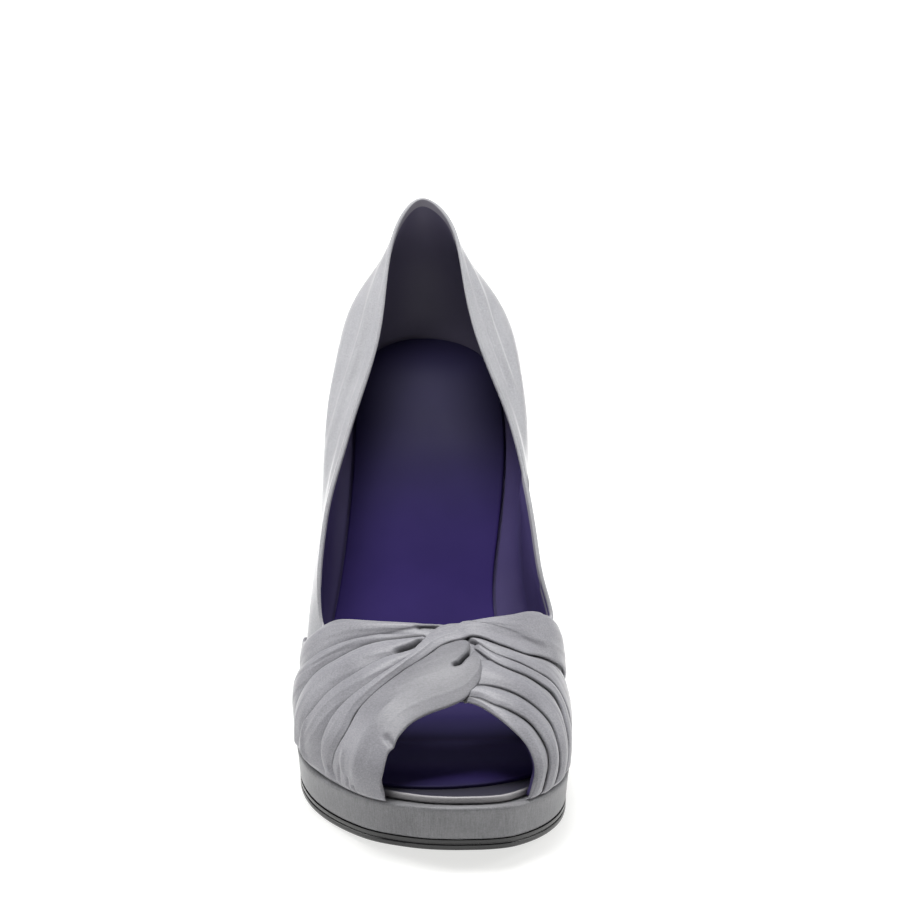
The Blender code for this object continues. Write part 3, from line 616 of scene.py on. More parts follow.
class Nodes:
    # Short calls that add nodes to one material.
    def __init__(self, slot_material):
        self.tree = slot_material.node_tree
        self.shader = self.tree.nodes["Principled BSDF"]
        self.place = self.add("ShaderNodeTexCoord").outputs["Object"]

    def add(self, kind, **settings):
        node = self.tree.nodes.new(kind)
        for name, value in settings.items():
            setattr(node, name, value)
        return node

    def put(self, socket, value):
        # Links a socket to its source, or sets a plain value.
        if isinstance(value, bpy.types.NodeSocket):
            self.tree.links.new(value, socket)
        else:
            socket.default_value = value

    def feed(self, node, **inputs):
        # Fills inputs, named as in the node with a low line for each space.
        for name, value in inputs.items():
            self.put(node.inputs[name.replace("_", " ")], value)
        return node

    def attribute(self, name):
        return self.add("ShaderNodeAttribute", attribute_name=name).outputs["Fac"]

    def mapped(self, scale=(1.0, 1.0, 1.0)):
        node = self.add("ShaderNodeMapping")
        return self.feed(node, Scale=scale, Vector=self.place).outputs["Vector"]

    def noise(self, vector, scale, detail, roughness, distortion=0.0):
        node = self.add("ShaderNodeTexNoise")
        self.feed(node, Scale=scale, Detail=detail, Roughness=roughness, Distortion=distortion)
        return self.feed(node, Vector=vector).outputs["Fac"]

    def cells(self, vector, scale):
        node = self.add("ShaderNodeTexVoronoi", feature="SMOOTH_F1")
        return self.feed(node, Scale=scale, Vector=vector).outputs["Distance"]

    def remap(self, value, low, high, out_low, out_high):
        node = self.add("ShaderNodeMapRange")
        self.feed(node, From_Min=low, From_Max=high, To_Min=out_low, To_Max=out_high)
        return self.feed(node, Value=value).outputs["Result"]

    def maths(self, operation, *values):
        node = self.add("ShaderNodeMath", operation=operation)
        for socket, value in zip(node.inputs, values):
            self.put(socket, value)
        return node.outputs["Value"]

    def mix(self, factor, first, second):
        node = self.add("ShaderNodeMix", data_type="RGBA")
        ends = [(*c, 1.0) if isinstance(c, tuple) else c for c in (first, second)]
        return self.feed(node, Factor=factor, A=ends[0], B=ends[1]).outputs["Result"]

    def bump(self, height, strength, distance, **below):
        node = self.add("ShaderNodeBump")
        self.feed(node, Strength=strength, Distance=distance, Height=height, **below)
        return node.outputs["Normal"]

    def finish(self, **inputs):
        self.feed(self.shader, **inputs)


SATIN_ROUGHNESS = 0.40


def satin(name, dark, light, threads, wrinkle, sheen=0.35):
    # Silk satin: a close weave of fine threads, a mottled grain, faint slubs, soft small wrinkles.
    middle = tuple((a + b) / 2 for a, b in zip(dark, light))
    cloth_material = material(name, middle, SATIN_ROUGHNESS, (
        ("Sheen Weight", sheen),
        ("Sheen Roughness", 0.30),
        ("Specular IOR Level", 0.30),
    ))
    n = Nodes(cloth_material)
    crossing = tuple(t * 0.37 + 500.0 for t in threads[::-1])
    warp = n.noise(n.mapped(threads), scale=1.0, detail=1.0, roughness=0.4)
    weft = n.noise(n.mapped(crossing), scale=1.0, detail=1.0, roughness=0.4)
    slub = n.noise(n.mapped(), scale=45.0, detail=3.0, roughness=0.55, distortion=0.4)
    grain = n.noise(n.mapped(), scale=1900.0, detail=2.0, roughness=0.6)
    soft = n.noise(n.mapped(), scale=85.0, detail=2.0, roughness=0.5, distortion=0.6)
    tone = n.maths("ADD", n.maths("MULTIPLY", warp, 0.30), n.maths("MULTIPLY", slub, 0.30))
    tone = n.maths("ADD", tone, n.maths("MULTIPLY", grain, 0.40))
    colour = n.mix(n.remap(tone, 0.34, 0.66, 0.0, 1.0), dark, light)
    rough = n.remap(slub, 0.3, 0.7, SATIN_ROUGHNESS - 0.05, SATIN_ROUGHNESS + 0.06)
    folds = n.bump(soft, strength=0.30 * wrinkle, distance=0.0012)
    weave = n.maths("ADD", n.maths("ADD", warp, weft), grain)
    normal = n.bump(weave, strength=0.22, distance=0.00006, Normal=folds)
    n.finish(Base_Color=colour, Roughness=rough, Normal=normal)
    return cloth_material


def leather(name, dark, light, roughness, grain, depth, **sockets):
    # Smooth dyed leather with a fine grain and slow changes of tone.
    middle = tuple((a + b) / 2 for a, b in zip(dark, light))
    named = [(key.replace("_", " "), value) for key, value in sockets.items()]
    hide = material(name, middle, roughness, named)
    n = Nodes(hide)
    cell = n.cells(n.mapped(), grain)
    cloud = n.noise(n.mapped(), scale=30.0, detail=3.0, roughness=0.55)
    colour = n.mix(n.remap(cloud, 0.3, 0.7, 0.0, 1.0), dark, light)
    rough = n.remap(cloud, 0.3, 0.7, roughness - 0.05, roughness + 0.05)
    n.finish(Base_Color=colour, Roughness=rough, Normal=n.bump(cell, 0.30, depth))
    return hide


DRAPE_SATIN = satin("drape_satin", (0.205, 0.203, 0.222), (0.325, 0.322, 0.348),
                    threads=(900.0, 2600.0, 2600.0), wrinkle=0.6)
QUARTER_SATIN = satin("upper_satin", (0.30, 0.30, 0.32), (0.42, 0.42, 0.44),
                      threads=(2600.0, 900.0, 2600.0), wrinkle=0.7, sheen=0.8)
PLATFORM_SATIN = satin("cover_satin", (0.130, 0.130, 0.137), (0.245, 0.245, 0.256),
                       threads=(2800.0, 2800.0, 160.0), wrinkle=0.2, sheen=0.25)
HEEL_SATIN = satin("heel_satin", (0.22, 0.217, 0.225), (0.32, 0.316, 0.325),
                   threads=(2800.0, 2800.0, 160.0), wrinkle=0.25, sheen=0.4)
LINING_LEATHER = leather("lining_leather", (0.060, 0.046, 0.140), (0.078, 0.062, 0.175),
                         roughness=0.44, grain=1500.0, depth=0.00006, Specular_IOR_Level=0.25)
SOCK_LEATHER = leather("purple_sock", (0.028, 0.016, 0.110), (0.038, 0.023, 0.140),
                       roughness=0.55, grain=1300.0, depth=0.00005, Specular_IOR_Level=0.07)
SOLE_BLACK = leather("black_sole", (0.006, 0.006, 0.007), (0.010, 0.010, 0.011),
                     roughness=0.26, grain=900.0, depth=0.00003,
                     Coat_Weight=0.25, Coat_Roughness=0.12)
LIFT_RUBBER = leather("lift_rubber", (0.016, 0.016, 0.016), (0.026, 0.026, 0.025),
                      roughness=0.52, grain=2200.0, depth=0.00008)
INSOLE_SATIN = satin("insole_satin", (0.34, 0.33, 0.34), (0.42, 0.41, 0.42),
                     threads=(2600.0, 1200.0, 2600.0), wrinkle=0.2)


def shade_by(slot_material, attribute, colour):
    # Mixes a second colour into a material where the mesh's own number says so.
    n = Nodes(slot_material)
    before = n.shader.inputs["Base Color"].links[0].from_socket
    n.finish(Base_Color=n.mix(n.attribute(attribute), before, colour))


# The insole board is coloured near black over its top and behind the toe; behind the toe this is
# painted shade in the gaps beside the sock.
shade_by(INSOLE_SATIN, "inner", (0.020, 0.019, 0.030))
# Painted shade: the satin turned in over the topline gets a darker colour.
shade_by(QUARTER_SATIN, "binding", (0.21, 0.20, 0.24))
shade_by(LINING_LEATHER, "counter", (0.110, 0.100, 0.155))
# Painted shade on the sock: darker under the heel, in the toe box and at its front edge.
shade_by(SOCK_LEATHER, "sock_painted_shade", (0.013, 0.012, 0.030))
# Painted light on the sock: a paler purple between its dark front edge and the toe box.
shade_by(SOCK_LEATHER, "pale", (0.150, 0.130, 0.290))
# Painted shade: the drape's colour goes near black beside its creases, in its deep dents and over
# part of the front fold.
shade_by(DRAPE_SATIN, "deep", (0.010, 0.010, 0.012))


# Sole, platform, insole, sock, heel and lift, made finely from the solids' own lines

FINE = 200              # steps along an outline
FINE_LONG = 220         # along the insole and sock
EDGE_ANGLE = 40         # edges sharper than this, in degrees, stay sharp
INSOLE_INSET = WELT + WALL + GAP + 0.0002


def tuck(y):
    return WELT * smooth_step((y - TUCK_START * PLATFORM_END) / (TUCK_OVER * PLATFORM_END))


def outline_rows(turns, inset, height, tucked=False):
    rows = []
    for side in (1, -1):
        extra = tuck(LENGTH * (1 + np.cos(turns)) / 2) if tucked else 0.0
        flat = outline_inset(side * turns, np.full(len(turns), float(inset)) + extra)
        rows.append(np.column_stack([flat, height(flat[:, 1])]))
    return rows


def turns_between(front, back, steps):
    return np.linspace(turn_of(front / LENGTH, 1), turn_of(back / LENGTH, 1), steps + 1)


def slab(name, rings, slot_material, sharp=EDGE_ANGLE):
    # Solid of stacked outline rings, capped straight across from side to side.
    loops = [np.concatenate([lateral_row, medial_row[::-1]]) for lateral_row, medial_row in rings]
    return stacked(name, loops, slot_material, strip_cap, sharp)


def corner(radius_in, radius_down, steps, start, end):
    # Inset and drop of a rounded edge, from one angle to another, in degrees.
    angles = np.radians(np.linspace(start, end, steps))
    return [(radius_in * (1 - np.cos(a)), radius_down * (1 - np.sin(a))) for a in angles]


def build_outsole():
    turns = turns_between(TIP, HEEL_BREAST - GAP, FINE)
    groove = 0.0004
    profile = (
        # inset, share of the thickness
        (0.0, 0.0), (0.0, 0.10), (0.0, 0.29), (0.0001, 0.33), (groove, 0.36), (groove, 0.46),
        (0.0001, 0.49), (0.0, 0.53), (0.0, 0.82), (0.00008, 0.90), (0.0003, 0.97), (0.0007, 1.0),
    )

    def level(share):
        return lambda y: sole_top(y) + (sole_bottom(y) - sole_top(y)) * share

    rings = [outline_rows(turns, SIDE_TAPER + inset, level(share), tucked=True)
             for inset, share in profile]
    return slab("outsole_shell", rings, SOLE_BLACK)


def build_platform():
    turns = turns_between(TIP, PLATFORM_END, FINE)
    round_in, round_down = 0.0012, 0.0013
    flat_top = 0.002
    under_edge = 0.0004
    profile = [(round_in + flat_top, 0.0)]
    profile += [(inset, drop / PLATFORM) for inset, drop in corner(round_in, round_down, 7, 90, 0)]
    profile += [(SIDE_TAPER * share, share) for share in (0.25, 0.5, 0.75, 0.92)]
    profile += [(SIDE_TAPER + under_edge, 1.0)]

    def level(share):
        return lambda y: seat(y) - platform_height(y) * share

    rings = [outline_rows(turns, inset, level(share), tucked=True) for inset, share in profile]
    return slab("platform_cover", rings, PLATFORM_SATIN)


def build_insole():
    turns = turns_between(TIP, LENGTH - TIP, FINE_LONG)
    edge = 0.0008
    profile = [(0.0050, 0.0), (0.0022, 0.0)] + corner(edge, edge, 7, 90, 0)
    profile += [(0.0, INSOLE - edge)] + [(i, INSOLE - d) for i, d in corner(edge, edge, 5, 0, 90)]
    top_rows = 3
    wrap_end, wrap_fade = 0.012, 0.006      # the light wrap shows at the toe only

    def level(drop):
        return lambda y: seat(y) + GAP + INSOLE - drop

    rings = [outline_rows(turns, INSOLE_INSET + inset, level(drop)) for inset, drop in profile]
    piece = slab("insole_board", rings, INSOLE_SATIN)
    # Near black over the top face and everywhere behind the toe, painted shade there in the gaps
    # beside the sock; only the front edge at the toe keeps the light satin.
    shade = []
    for k, (lateral_row, medial_row) in enumerate(rings):
        y = np.concatenate([lateral_row[:, 1], medial_row[::-1, 1]])
        behind = smooth_step((y - wrap_end) / wrap_fade)
        shade.append(np.maximum(1.0 if k < top_rows else 0.0, behind))
    paint(piece, "inner", np.concatenate(shade))
    return piece


def build_sock():
    turns = turns_between(TIP, LENGTH - TIP, FINE_LONG)
    inset = INSOLE_INSET - 0.0003
    blend = 0.0006          # softness of the corners where the front edge meets the sides
    section = (
        # inset, height
        (0.0012, SOCK), (0.0006, SOCK * 0.98), (0.0003, SOCK * 0.88), (0.0001, SOCK * 0.68),
        (0.0, SOCK * 0.4), (0.0, -GAP * 0.8),
    )

    def rows(extra, lift):
        out = []
        for hand in (1, -1):
            flat = outline_inset(hand * turns, np.full(len(turns), inset + extra))
            front = SOCK_FRONT + extra + flat[:, 0] ** 2 / (2 * SOCK_CURVE)
            apart = flat[:, 1] - front
            flat[:, 1] = front + (apart + np.sqrt(apart ** 2 + blend ** 2)) / 2
            out.append(np.column_stack([flat, seat(flat[:, 1]) + 2 * GAP + INSOLE + lift]))
        return out

    piece = slab("sock_leather", [rows(*row) for row in section], SOCK_LEATHER, sharp=60)
    y = np.array([v.co.y for v in piece.data.vertices]) + TREAD_MIDDLE

    def after(start, over):
        return smooth_step((y - start) / over)

    def before(end, over):
        return smooth_step((end - y) / over)

    # Places from the toe. Painted shade: the sock is coloured darker under the heel, in the toe box
    # and at its front edge.
    heel = 0.85 * after(0.110, 0.055)
    toe = 0.80 * before(0.090, 0.025) * after(0.045, 0.010)
    rim = 0.80 * before(0.032, 0.016)
    paint(piece, "sock_painted_shade", np.maximum(heel, np.maximum(toe, rim)))
    # Painted light: paler purple between the dark front edge and the toe box.
    paint(piece, "pale", before(0.056, 0.010) * after(0.026, 0.014))
    return piece


HEEL_WRAP = 0.68        # share of half a turn that the stem's round back covers
HEEL_TURNS = 93         # points round it
BREAST_POINTS = 33      # points across the breast, with the two it shares
CUP_FRONT = 0.33        # half width of the cup at the breast, as a share of BALL
CUP_BLEND = (0.45, 0.55)    # the oval stem turns into the cup from this share up, over this one
TILT_BLEND = (0.25, 0.75)   # and its rings tilt to the seat
CUP_EDGE = 0.95         # share up where the cup's straight rim starts
CUP_RIM = 0.0022        # height of that rim


def heel_ring(up, cup):
    # One ring of the heel at a share of its height, as in the solid.
    shares = column(STEM, 0)
    seat_length = LENGTH - HEEL_BREAST
    top_z = LIFT_HEIGHT + GAP
    front_y = HEEL_BREAST + seat_length * float(spline(shares, column(STEM, 1), up))
    back_y = HEEL_BREAST + seat_length * float(spline(shares, column(STEM, 2), up))
    wide = BALL * float(spline(shares, column(STEM, 3), up))
    angles = np.linspace(-HEEL_WRAP * math.pi, HEEL_WRAP * math.pi, len(cup))
    centre = (front_y + back_y) / 2
    oval_x = wide * np.sin(angles)
    oval_y = centre + (back_y - centre) * np.cos(angles)
    blend = smooth_step((up - CUP_BLEND[0]) / CUP_BLEND[1])
    cup_y = front_y + (cup[:, 1] - cup[0, 1]) * (back_y - front_y) / (cup[:, 1].max() - cup[0, 1])
    arc_x = (1 - blend) * oval_x + blend * cup[:, 0] * wide / (CUP_FRONT * BALL)
    arc_y = (1 - blend) * oval_y + blend * cup_y
    tilt = smooth_step((up - TILT_BLEND[0]) / TILT_BLEND[1])
    level = seat(centre)

    def height(y):
        return top_z + (level - GAP - top_z) * up + (seat(y) - level) * tilt

    return heel_close(arc_x, arc_y, height)


def heel_close(arc_x, arc_y, height):
    # Closes a heel ring with its breast, straight across from end to end.
    share = (np.linspace(-1, 1, BREAST_POINTS)[1:-1] + 1) / 2
    breast_x = arc_x[-1] + (arc_x[0] - arc_x[-1]) * share
    breast_y = arc_y[-1] + (arc_y[0] - arc_y[-1]) * share
    x = np.concatenate([arc_x, breast_x])
    y = np.concatenate([arc_y, breast_y])
    return np.column_stack([x, y, height(y)])


def build_heel():
    half = turn_of(HEEL_BREAST / LENGTH, 1)
    turns = np.linspace(half, -half, HEEL_TURNS)
    cup = outline_inset(turns, np.full(len(turns), WELT + 0.0004))
    rings = [heel_ring(up, cup) for up in np.linspace(0, CUP_EDGE, 64)]
    rings.append(heel_close(cup[:, 0], cup[:, 1], lambda y: seat(y) - CUP_RIM))
    rings.append(heel_close(cup[:, 0], cup[:, 1], seat))

    def cap(first, per):
        arc = len(cup)
        breast = [first, first + arc - 1] + [first + k for k in range(arc, per)]
        return strip_cap(first, arc) + [breast]

    return stacked("heel_cover", rings, HEEL_SATIN, cap, EDGE_ANGLE)


def build_top_lift():
    seat_length = LENGTH - HEEL_BREAST
    middle = HEEL_BREAST + seat_length * (STEM[0][1] + STEM[0][2]) / 2
    angles = np.linspace(0, 2 * math.pi, 97)[:-1]
    cut_off = 0.30 * LIFT_LENGTH        # the oval is cut straight, this far before its middle
    levels = (
        # height, inset
        (0.0, 0.0007), (0.00012, 0.0003), (0.0004, 0.00008), (0.0008, 0.0),
        (LIFT_HEIGHT - 0.0004, 0.0), (LIFT_HEIGHT, 0.00025),
    )
    rings = []
    for z, shrink in levels:
        x = (LIFT_WIDTH / 2 - shrink) * np.sin(angles)
        y = middle + np.maximum((LIFT_LENGTH / 2 - shrink) * np.cos(angles), shrink - cut_off)
        rings.append(np.column_stack([x, y, np.full(len(x), z)]))
    return stacked("lift_rubber", rings, LIFT_RUBBER, strip_cap, EDGE_ANGLE)


# Chart lines. Each row is a station and a share up the wall, on the lateral or the medial side.

def lateral(*rows):
    return np.array([(v - 1.0, t) for t, v in rows])


def medial(*rows):
    return np.array([(1.0 - v, t) for t, v in rows])


CHART_SCALE = np.array([0.060, 0.008])     # rough lengths of one whole share and of one station
LINE_STEPS = 40         # points along a crease


def run_of(line):
    # Share of a chart line's length at each of its rows.
    steps = np.linalg.norm(np.diff(line * CHART_SCALE, axis=0), axis=1)
    run = np.concatenate([[0], np.cumsum(steps)])
    return run / run[-1]


def resample(line, share):
    # Points of a chart line at shares of its length.
    run = run_of(line)
    return np.stack([spline(run, line[:, k], share) for k in (0, 1)], axis=-1)


def paired(table, share):
    # Both lines of a table of paired places, kept in step with each other.
    rows = np.array(table)
    run = (run_of(rows[:, :2]) + run_of(rows[:, 2:])) / 2
    place = np.stack([monotone(run, rows[:, k], share) for k in range(4)], axis=-1)
    return place[:, :2], place[:, 2:]


def nearest(points, line_points):
    # Distance from each point to a line of points, and the share along it.
    gap = np.full(points.shape[:-1], 1e9)
    share = np.zeros(points.shape[:-1])
    steps = len(line_points) - 1
    for k in range(steps):
        a = line_points[k]
        d = line_points[k + 1] - a
        f = np.clip(((points - a) @ d) / max(float(d @ d), 1e-12), 0, 1)
        away = np.linalg.norm(points - (a + f[..., None] * d), axis=-1)
        closer = away < gap
        gap = np.where(closer, away, gap)
        share = np.where(closer, (k + f) / steps, share)
    return gap, share


def creased(skin, lines):
    # Height that listed ridges and troughs add: rows of line, height, width and end taper.
    extra = np.zeros(skin.shape[:-1])
    for line, height, width, taper in lines:
        path, _ = chart(*resample(line, np.linspace(0, 1, LINE_STEPS)).T)
        gap, share = nearest(skin, path)
        ends = smooth_step(share / taper) * smooth_step((1 - share) / taper)
        extra += height * np.exp(-(gap / width) ** 2) * ends
    return extra


NOSE = 9        # points round a folded edge
BELOW = 8       # points across its underside
INSIDE = 4      # points down the turned-in edge
END_TAPER = 0.03        # share of a fold's length over which its ends taper
END_LOW = 0.25          # height left at the very end
LIP_SHARE = 0.3         # a folded edge's radius is at most this share of the fold's width
HOLLOW_SHARE = 0.42     # and the hollow under it at most this one
TURNED_IN = WALL + 0.0003   # depth of the edge that is turned in at the throat
TURN_ROUND = 0.6        # how round it turns
UNDER_RUN = 1.12        # the underside's points end before the back edge
FOOT_RISE = 0.09        # folds rise over this share up the wall
FOOT_LOW = 0.55         # from this share of their height
FOOT_MORE = 0.45        # by this share
CREASE_RISE = 0.6       # creases set in over this share of a fold's height
# Painted shade: from this share across the chart a fold's colour is darkened, over the next share.
PAINTED_SHADE_FROM = -0.55       # the front fold grows dull from here across the chart
PAINTED_SHADE_OVER = 0.4         # over this share
HEM_REACH = 0.05        # lines that end this near to the hem, in stations, are drawn onto it
LEAST_WIDTH = 1e-4      # of a fold, where its two lines meet
SMOOTHING = 6           # times the direction out of a fold is evened
# Painted shade: these set where the drape's colour is darkened beside creases and in dents.
SHADOW_REACH = 0.0011   # how far a crease darkens the cloth beside it
SHADOW_DEPTH = 0.0010   # dents deeper than this darken as well


def heights(values, share):
    # Height at shares of a fold's length, from a row of even steps in millimetres.
    return MM * monotone(np.linspace(0, 1, len(values)), values, share)


RIPPLES = (
    # length in millimetres, height in millimetres, drift along the fold
    (3.1, 0.10, 2.3),
    (1.9, 0.06, 4.1),
    (5.3, 0.12, 1.3),
)
RIPPLE_RISE = 0.15      # share across a fold over which its pulls rise from the front edge
RIPPLE_FALL = 0.1       # and fall again to the back edge
RIPPLE_ENDS = 0.4       # share of their height at the fold's ends
RIPPLE_MIDDLE = 0.6     # and what comes to it in the middle


def ripple(u, q, width, seed):
    # Faint pulls that run along a fold, where the satin is drawn tight.
    calm = smooth_step(q / RIPPLE_RISE) * smooth_step((1 - q) / RIPPLE_FALL)
    wave = 0.0
    for pitch_mm, size, drift in RIPPLES:
        turns = 2 * math.pi * q * width / (pitch_mm * MM)
        wave = wave + size * np.sin(turns + drift * math.pi * u + seed * drift * 2.0)
    return MM * wave * calm * (RIPPLE_ENDS + RIPPLE_MIDDLE * np.sin(math.pi * u) ** 2)


def fold_section(width, ha, hb, k, surface, top_points):
    # Share across, height over the last and reach past the back edge, for points round a fold.
    ra, rb = (np.minimum(np.minimum((h - UNDER) / 2, LIP), LIP_SHARE * width) for h in (ha, hb))
    hollow = np.minimum(HOLLOW, HOLLOW_SHARE * width)
    angle = np.radians(np.linspace(-90, 90, NOSE))
    none = np.zeros(len(width))
    level = none + UNDER
    section = [(hollow / width, level, none), (hollow / width, ha - 2 * ra, none)]
    section.append(((hollow + ra) / 2 / width, ha - 2 * ra, none))
    for phi in angle:
        section.append((ra * (1 - np.cos(phi)) / width, ha - ra + ra * np.sin(phi), none))
    for q in np.linspace(0, 1, top_points + 2)[1:-1]:
        start = ra / width
        end = 1 - (1 - k) * rb / width
        section.append((start + (end - start) * q, surface(q), none))
    deep = -TURNED_IN
    wide = (hb - deep) / 2
    for phi in angle[::-1]:
        flat = hb - rb + rb * np.sin(phi)
        turned = deep + wide * (1 + np.sin(phi))
        inward = 1 - (1 - k) * rb * (1 - np.cos(phi)) / width
        section.append((inward, flat * (1 - k) + turned * k, k * wide * TURN_ROUND * np.cos(phi)))
    for share in np.arange(1, INSIDE + 1) / INSIDE:
        inward = 1 - (1 - k) * (rb + (hollow - rb) * share) / width
        section.append((inward, (hb - 2 * rb) * (1 - k) + deep * k, -k * BINDING * share))
    for q in np.linspace(1, 0, BELOW + 2)[1:-1]:
        start = hollow / width
        end = 1 - np.maximum((1 - k) * hollow, k * BINDING) / width
        section.append((start + (end - start) * np.minimum(q * UNDER_RUN, 1.0), level, none))
    return [np.stack(part, axis=1) for part in zip(*section)]


def way_out(front, back, back_normal):
    # Direction along the last out of a fold's back edge, evened along the fold.
    out = unit(np.cross(np.gradient(back, axis=0), back_normal))
    out = out * np.sign(np.sum(out * (back - front), axis=1))[:, None]
    for _ in range(SMOOTHING):
        out[1:-1] = (out[:-2] + out[1:-1] * 2 + out[2:]) / 4
    return unit(out)


def cloth(name, first, second, first_height, second_height, crown, fall, seed, roll=None,
          rings=130, tuck_first=0.0, tuck_second=0.0, lines=(), top_points=26, pulls=0.45,
          shadow=0.5, painted_shade_share=0.0):
    # One fold of the overlay between two chart lines, as a closed form with rolled edges.
    u = np.linspace(0, 1, rings)
    a, b = paired(first, u) if second is None else (resample(first, u), resample(second, u))
    on_hem = (np.abs(b[:, 0]) > 1e-3) & (b[:, 1] > DRAPE_CORNER - HEM_REACH)
    b[:, 1] = np.where(on_hem, drape_end(1 - np.abs(b[:, 0])), b[:, 1])
    pa, _ = chart(a[:, 0], a[:, 1])
    pb, nb = chart(b[:, 0], b[:, 1])
    width = np.maximum(np.linalg.norm(pb - pa, axis=1), LEAST_WIDTH)
    reach = (b - a) / width[:, None]
    a = a - reach * tuck_first
    b = b + reach * tuck_second
    width = width + tuck_first + tuck_second
    ends = smooth_step(u / END_TAPER) * smooth_step((1 - u) / END_TAPER)
    ends = END_LOW + (1 - END_LOW) * ends
    ha = heights(first_height, u) * ends
    hb = heights(second_height, u) * ends
    k = np.zeros(rings) if roll is None else roll(b)

    def surface(q):
        swell = MM * crown * ends * 4 * q * (1 - q)
        return ha + (hb - ha) * q ** fall + swell + ripple(u, q, width, seed) * ends * pulls

    across, lift, beyond = fold_section(width, ha, hb, k, surface, top_points)
    place = a[:, None, :] + (b - a)[:, None, :] * across[..., None]
    skin, normal = chart(place[..., 0], place[..., 1])
    out = way_out(pa, pb, nb)
    foot = np.clip(1 - np.abs(place[..., 0]), 0, 1)
    rise = FOOT_LOW + FOOT_MORE * smooth_step(foot / FOOT_RISE)
    lift = np.where(lift > UNDER, UNDER + (lift - UNDER) * rise, lift)
    # Painted shade: near black just before the next fold's edge, and in dents deeper than the
    # limit. On the front fold it also darkens across the chart from the lateral side.
    left = (1 - across) * width[:, None] - tuck_second
    dark = shadow * smooth_step((SHADOW_REACH - left) / SHADOW_REACH) * (tuck_second > 0)
    for line, height, broad, taper in lines:
        if height < -SHADOW_DEPTH:
            dark = np.maximum(dark, creased(skin, ((line, 1.0, broad, taper),)))
    dark = np.maximum(dark, painted_shade_share * smooth_step((place[..., 0] - PAINTED_SHADE_FROM) / PAINTED_SHADE_OVER))
    if lines:
        highest = np.maximum(ha, hb)[:, None]
        top = np.clip((lift - UNDER) / np.maximum(highest * CREASE_RISE, 1e-5), 0, 1)
        lift = lift + creased(skin, lines) * smooth_step(top)
    points = skin + normal * lift[..., None] + out[:, None, :] * beyond[..., None]
    floor = seat(points[..., 1]) + 0.3 * GAP
    points[..., 2] = np.where(beyond == 0, np.maximum(points[..., 2], floor), points[..., 2])
    piece = stacked(name, points, DRAPE_SATIN, one_face, sharp=75)
    dress(piece, "vamp_drape", "drape_satin")
    # The painted shade goes into the mesh's number that darkens the satin.
    paint(piece, "deep", dark.reshape(-1))


# Lines of the overlay, back to front, from the knot down to the sole

LAT_1 = lateral((3.5, 0.93), (3.8, 0.85), (4.1, 0.81), (4.4, 0.79), (4.85, 0.72), (4.97, 0.68),
                (5.15, 0.63), (5.3, 0.57), (5.6, 0.50), (6.0, 0.42), (6.5, 0.30), (7.0, 0.15),
                (7.2, 0.0))
LAT_2 = lateral((3.45, 0.93), (3.5, 0.87), (3.65, 0.80), (3.75, 0.76), (3.85, 0.69), (3.9, 0.62),
                (4.05, 0.55), (4.1, 0.43), (4.15, 0.34), (4.3, 0.20), (4.4, 0.0))
LAT_3 = lateral((3.3, 0.925), (3.1, 0.90), (2.85, 0.88), (2.75, 0.84), (2.78, 0.78), (2.75, 0.70),
                (2.75, 0.62), (2.8, 0.56), (2.85, 0.48), (2.9, 0.41), (3.0, 0.35), (3.25, 0.27),
                (3.5, 0.13), (3.55, 0.0))
LAT_3_RIDGE = lateral((2.9, 0.46), (2.95, 0.36), (3.0, 0.24), (2.95, 0.14), (2.6, 0.05))
LAT_4 = lateral((2.9, 0.93), (2.5, 0.89), (2.35, 0.84), (2.25, 0.80), (2.15, 0.75), (2.07, 0.70),
                (2.05, 0.60), (2.1, 0.53), (2.1, 0.40), (2.1, 0.24), (1.95, 0.11), (1.93, 0.0))
MED_1 = medial((3.1, 0.97), (3.25, 0.95), (3.3, 0.92), (3.25, 0.88), (3.17, 0.83), (3.2, 0.77),
               (3.3, 0.72), (3.8, 0.64), (4.4, 0.57), (5.2, 0.50), (6.05, 0.41), (6.7, 0.28),
               (7.2, 0.12), (7.3, 0.0))
MED_2 = medial((3.1, 0.93), (2.75, 0.88), (2.6, 0.83), (2.65, 0.74), (2.8, 0.65), (3.05, 0.57),
               (3.1, 0.47), (3.05, 0.41), (3.0, 0.36), (2.95, 0.30), (2.8, 0.15), (2.7, 0.0))
MED_3 = medial((2.85, 0.94), (2.45, 0.89), (2.2, 0.84), (2.15, 0.77), (2.3, 0.69), (2.45, 0.61),
               (2.6, 0.54), (2.55, 0.48), (2.4, 0.43), (2.25, 0.38), (2.15, 0.28), (1.95, 0.14),
               (1.9, 0.0))
MED_4 = medial((0.6, 0.96), (0.8, 0.91), (0.9, 0.87), (1.0, 0.82), (1.2, 0.71), (1.3, 0.64),
               (1.4, 0.55), (1.45, 0.48), (1.4, 0.42), (1.35, 0.36), (1.35, 0.27), (1.2, 0.15),
               (0.9, 0.0))
MED_5 = medial((0.24, 0.98), (0.22, 0.955), (0.27, 0.88), (0.3, 0.80), (0.45, 0.73), (0.6, 0.66),
               (0.75, 0.58), (0.8, 0.50), (0.8, 0.36), (0.7, 0.29), (0.55, 0.14), (0.45, 0.0))
MED_EDGE = medial((0.05, 0.985), (0.02, 0.955), (0.0, 0.88), (0.0, 0.80), (0.05, 0.72),
                  (0.12, 0.64), (0.2, 0.57), (0.26, 0.50), (0.28, 0.38), (0.22, 0.29), (0.12, 0.18),
                  (0.0, 0.0))

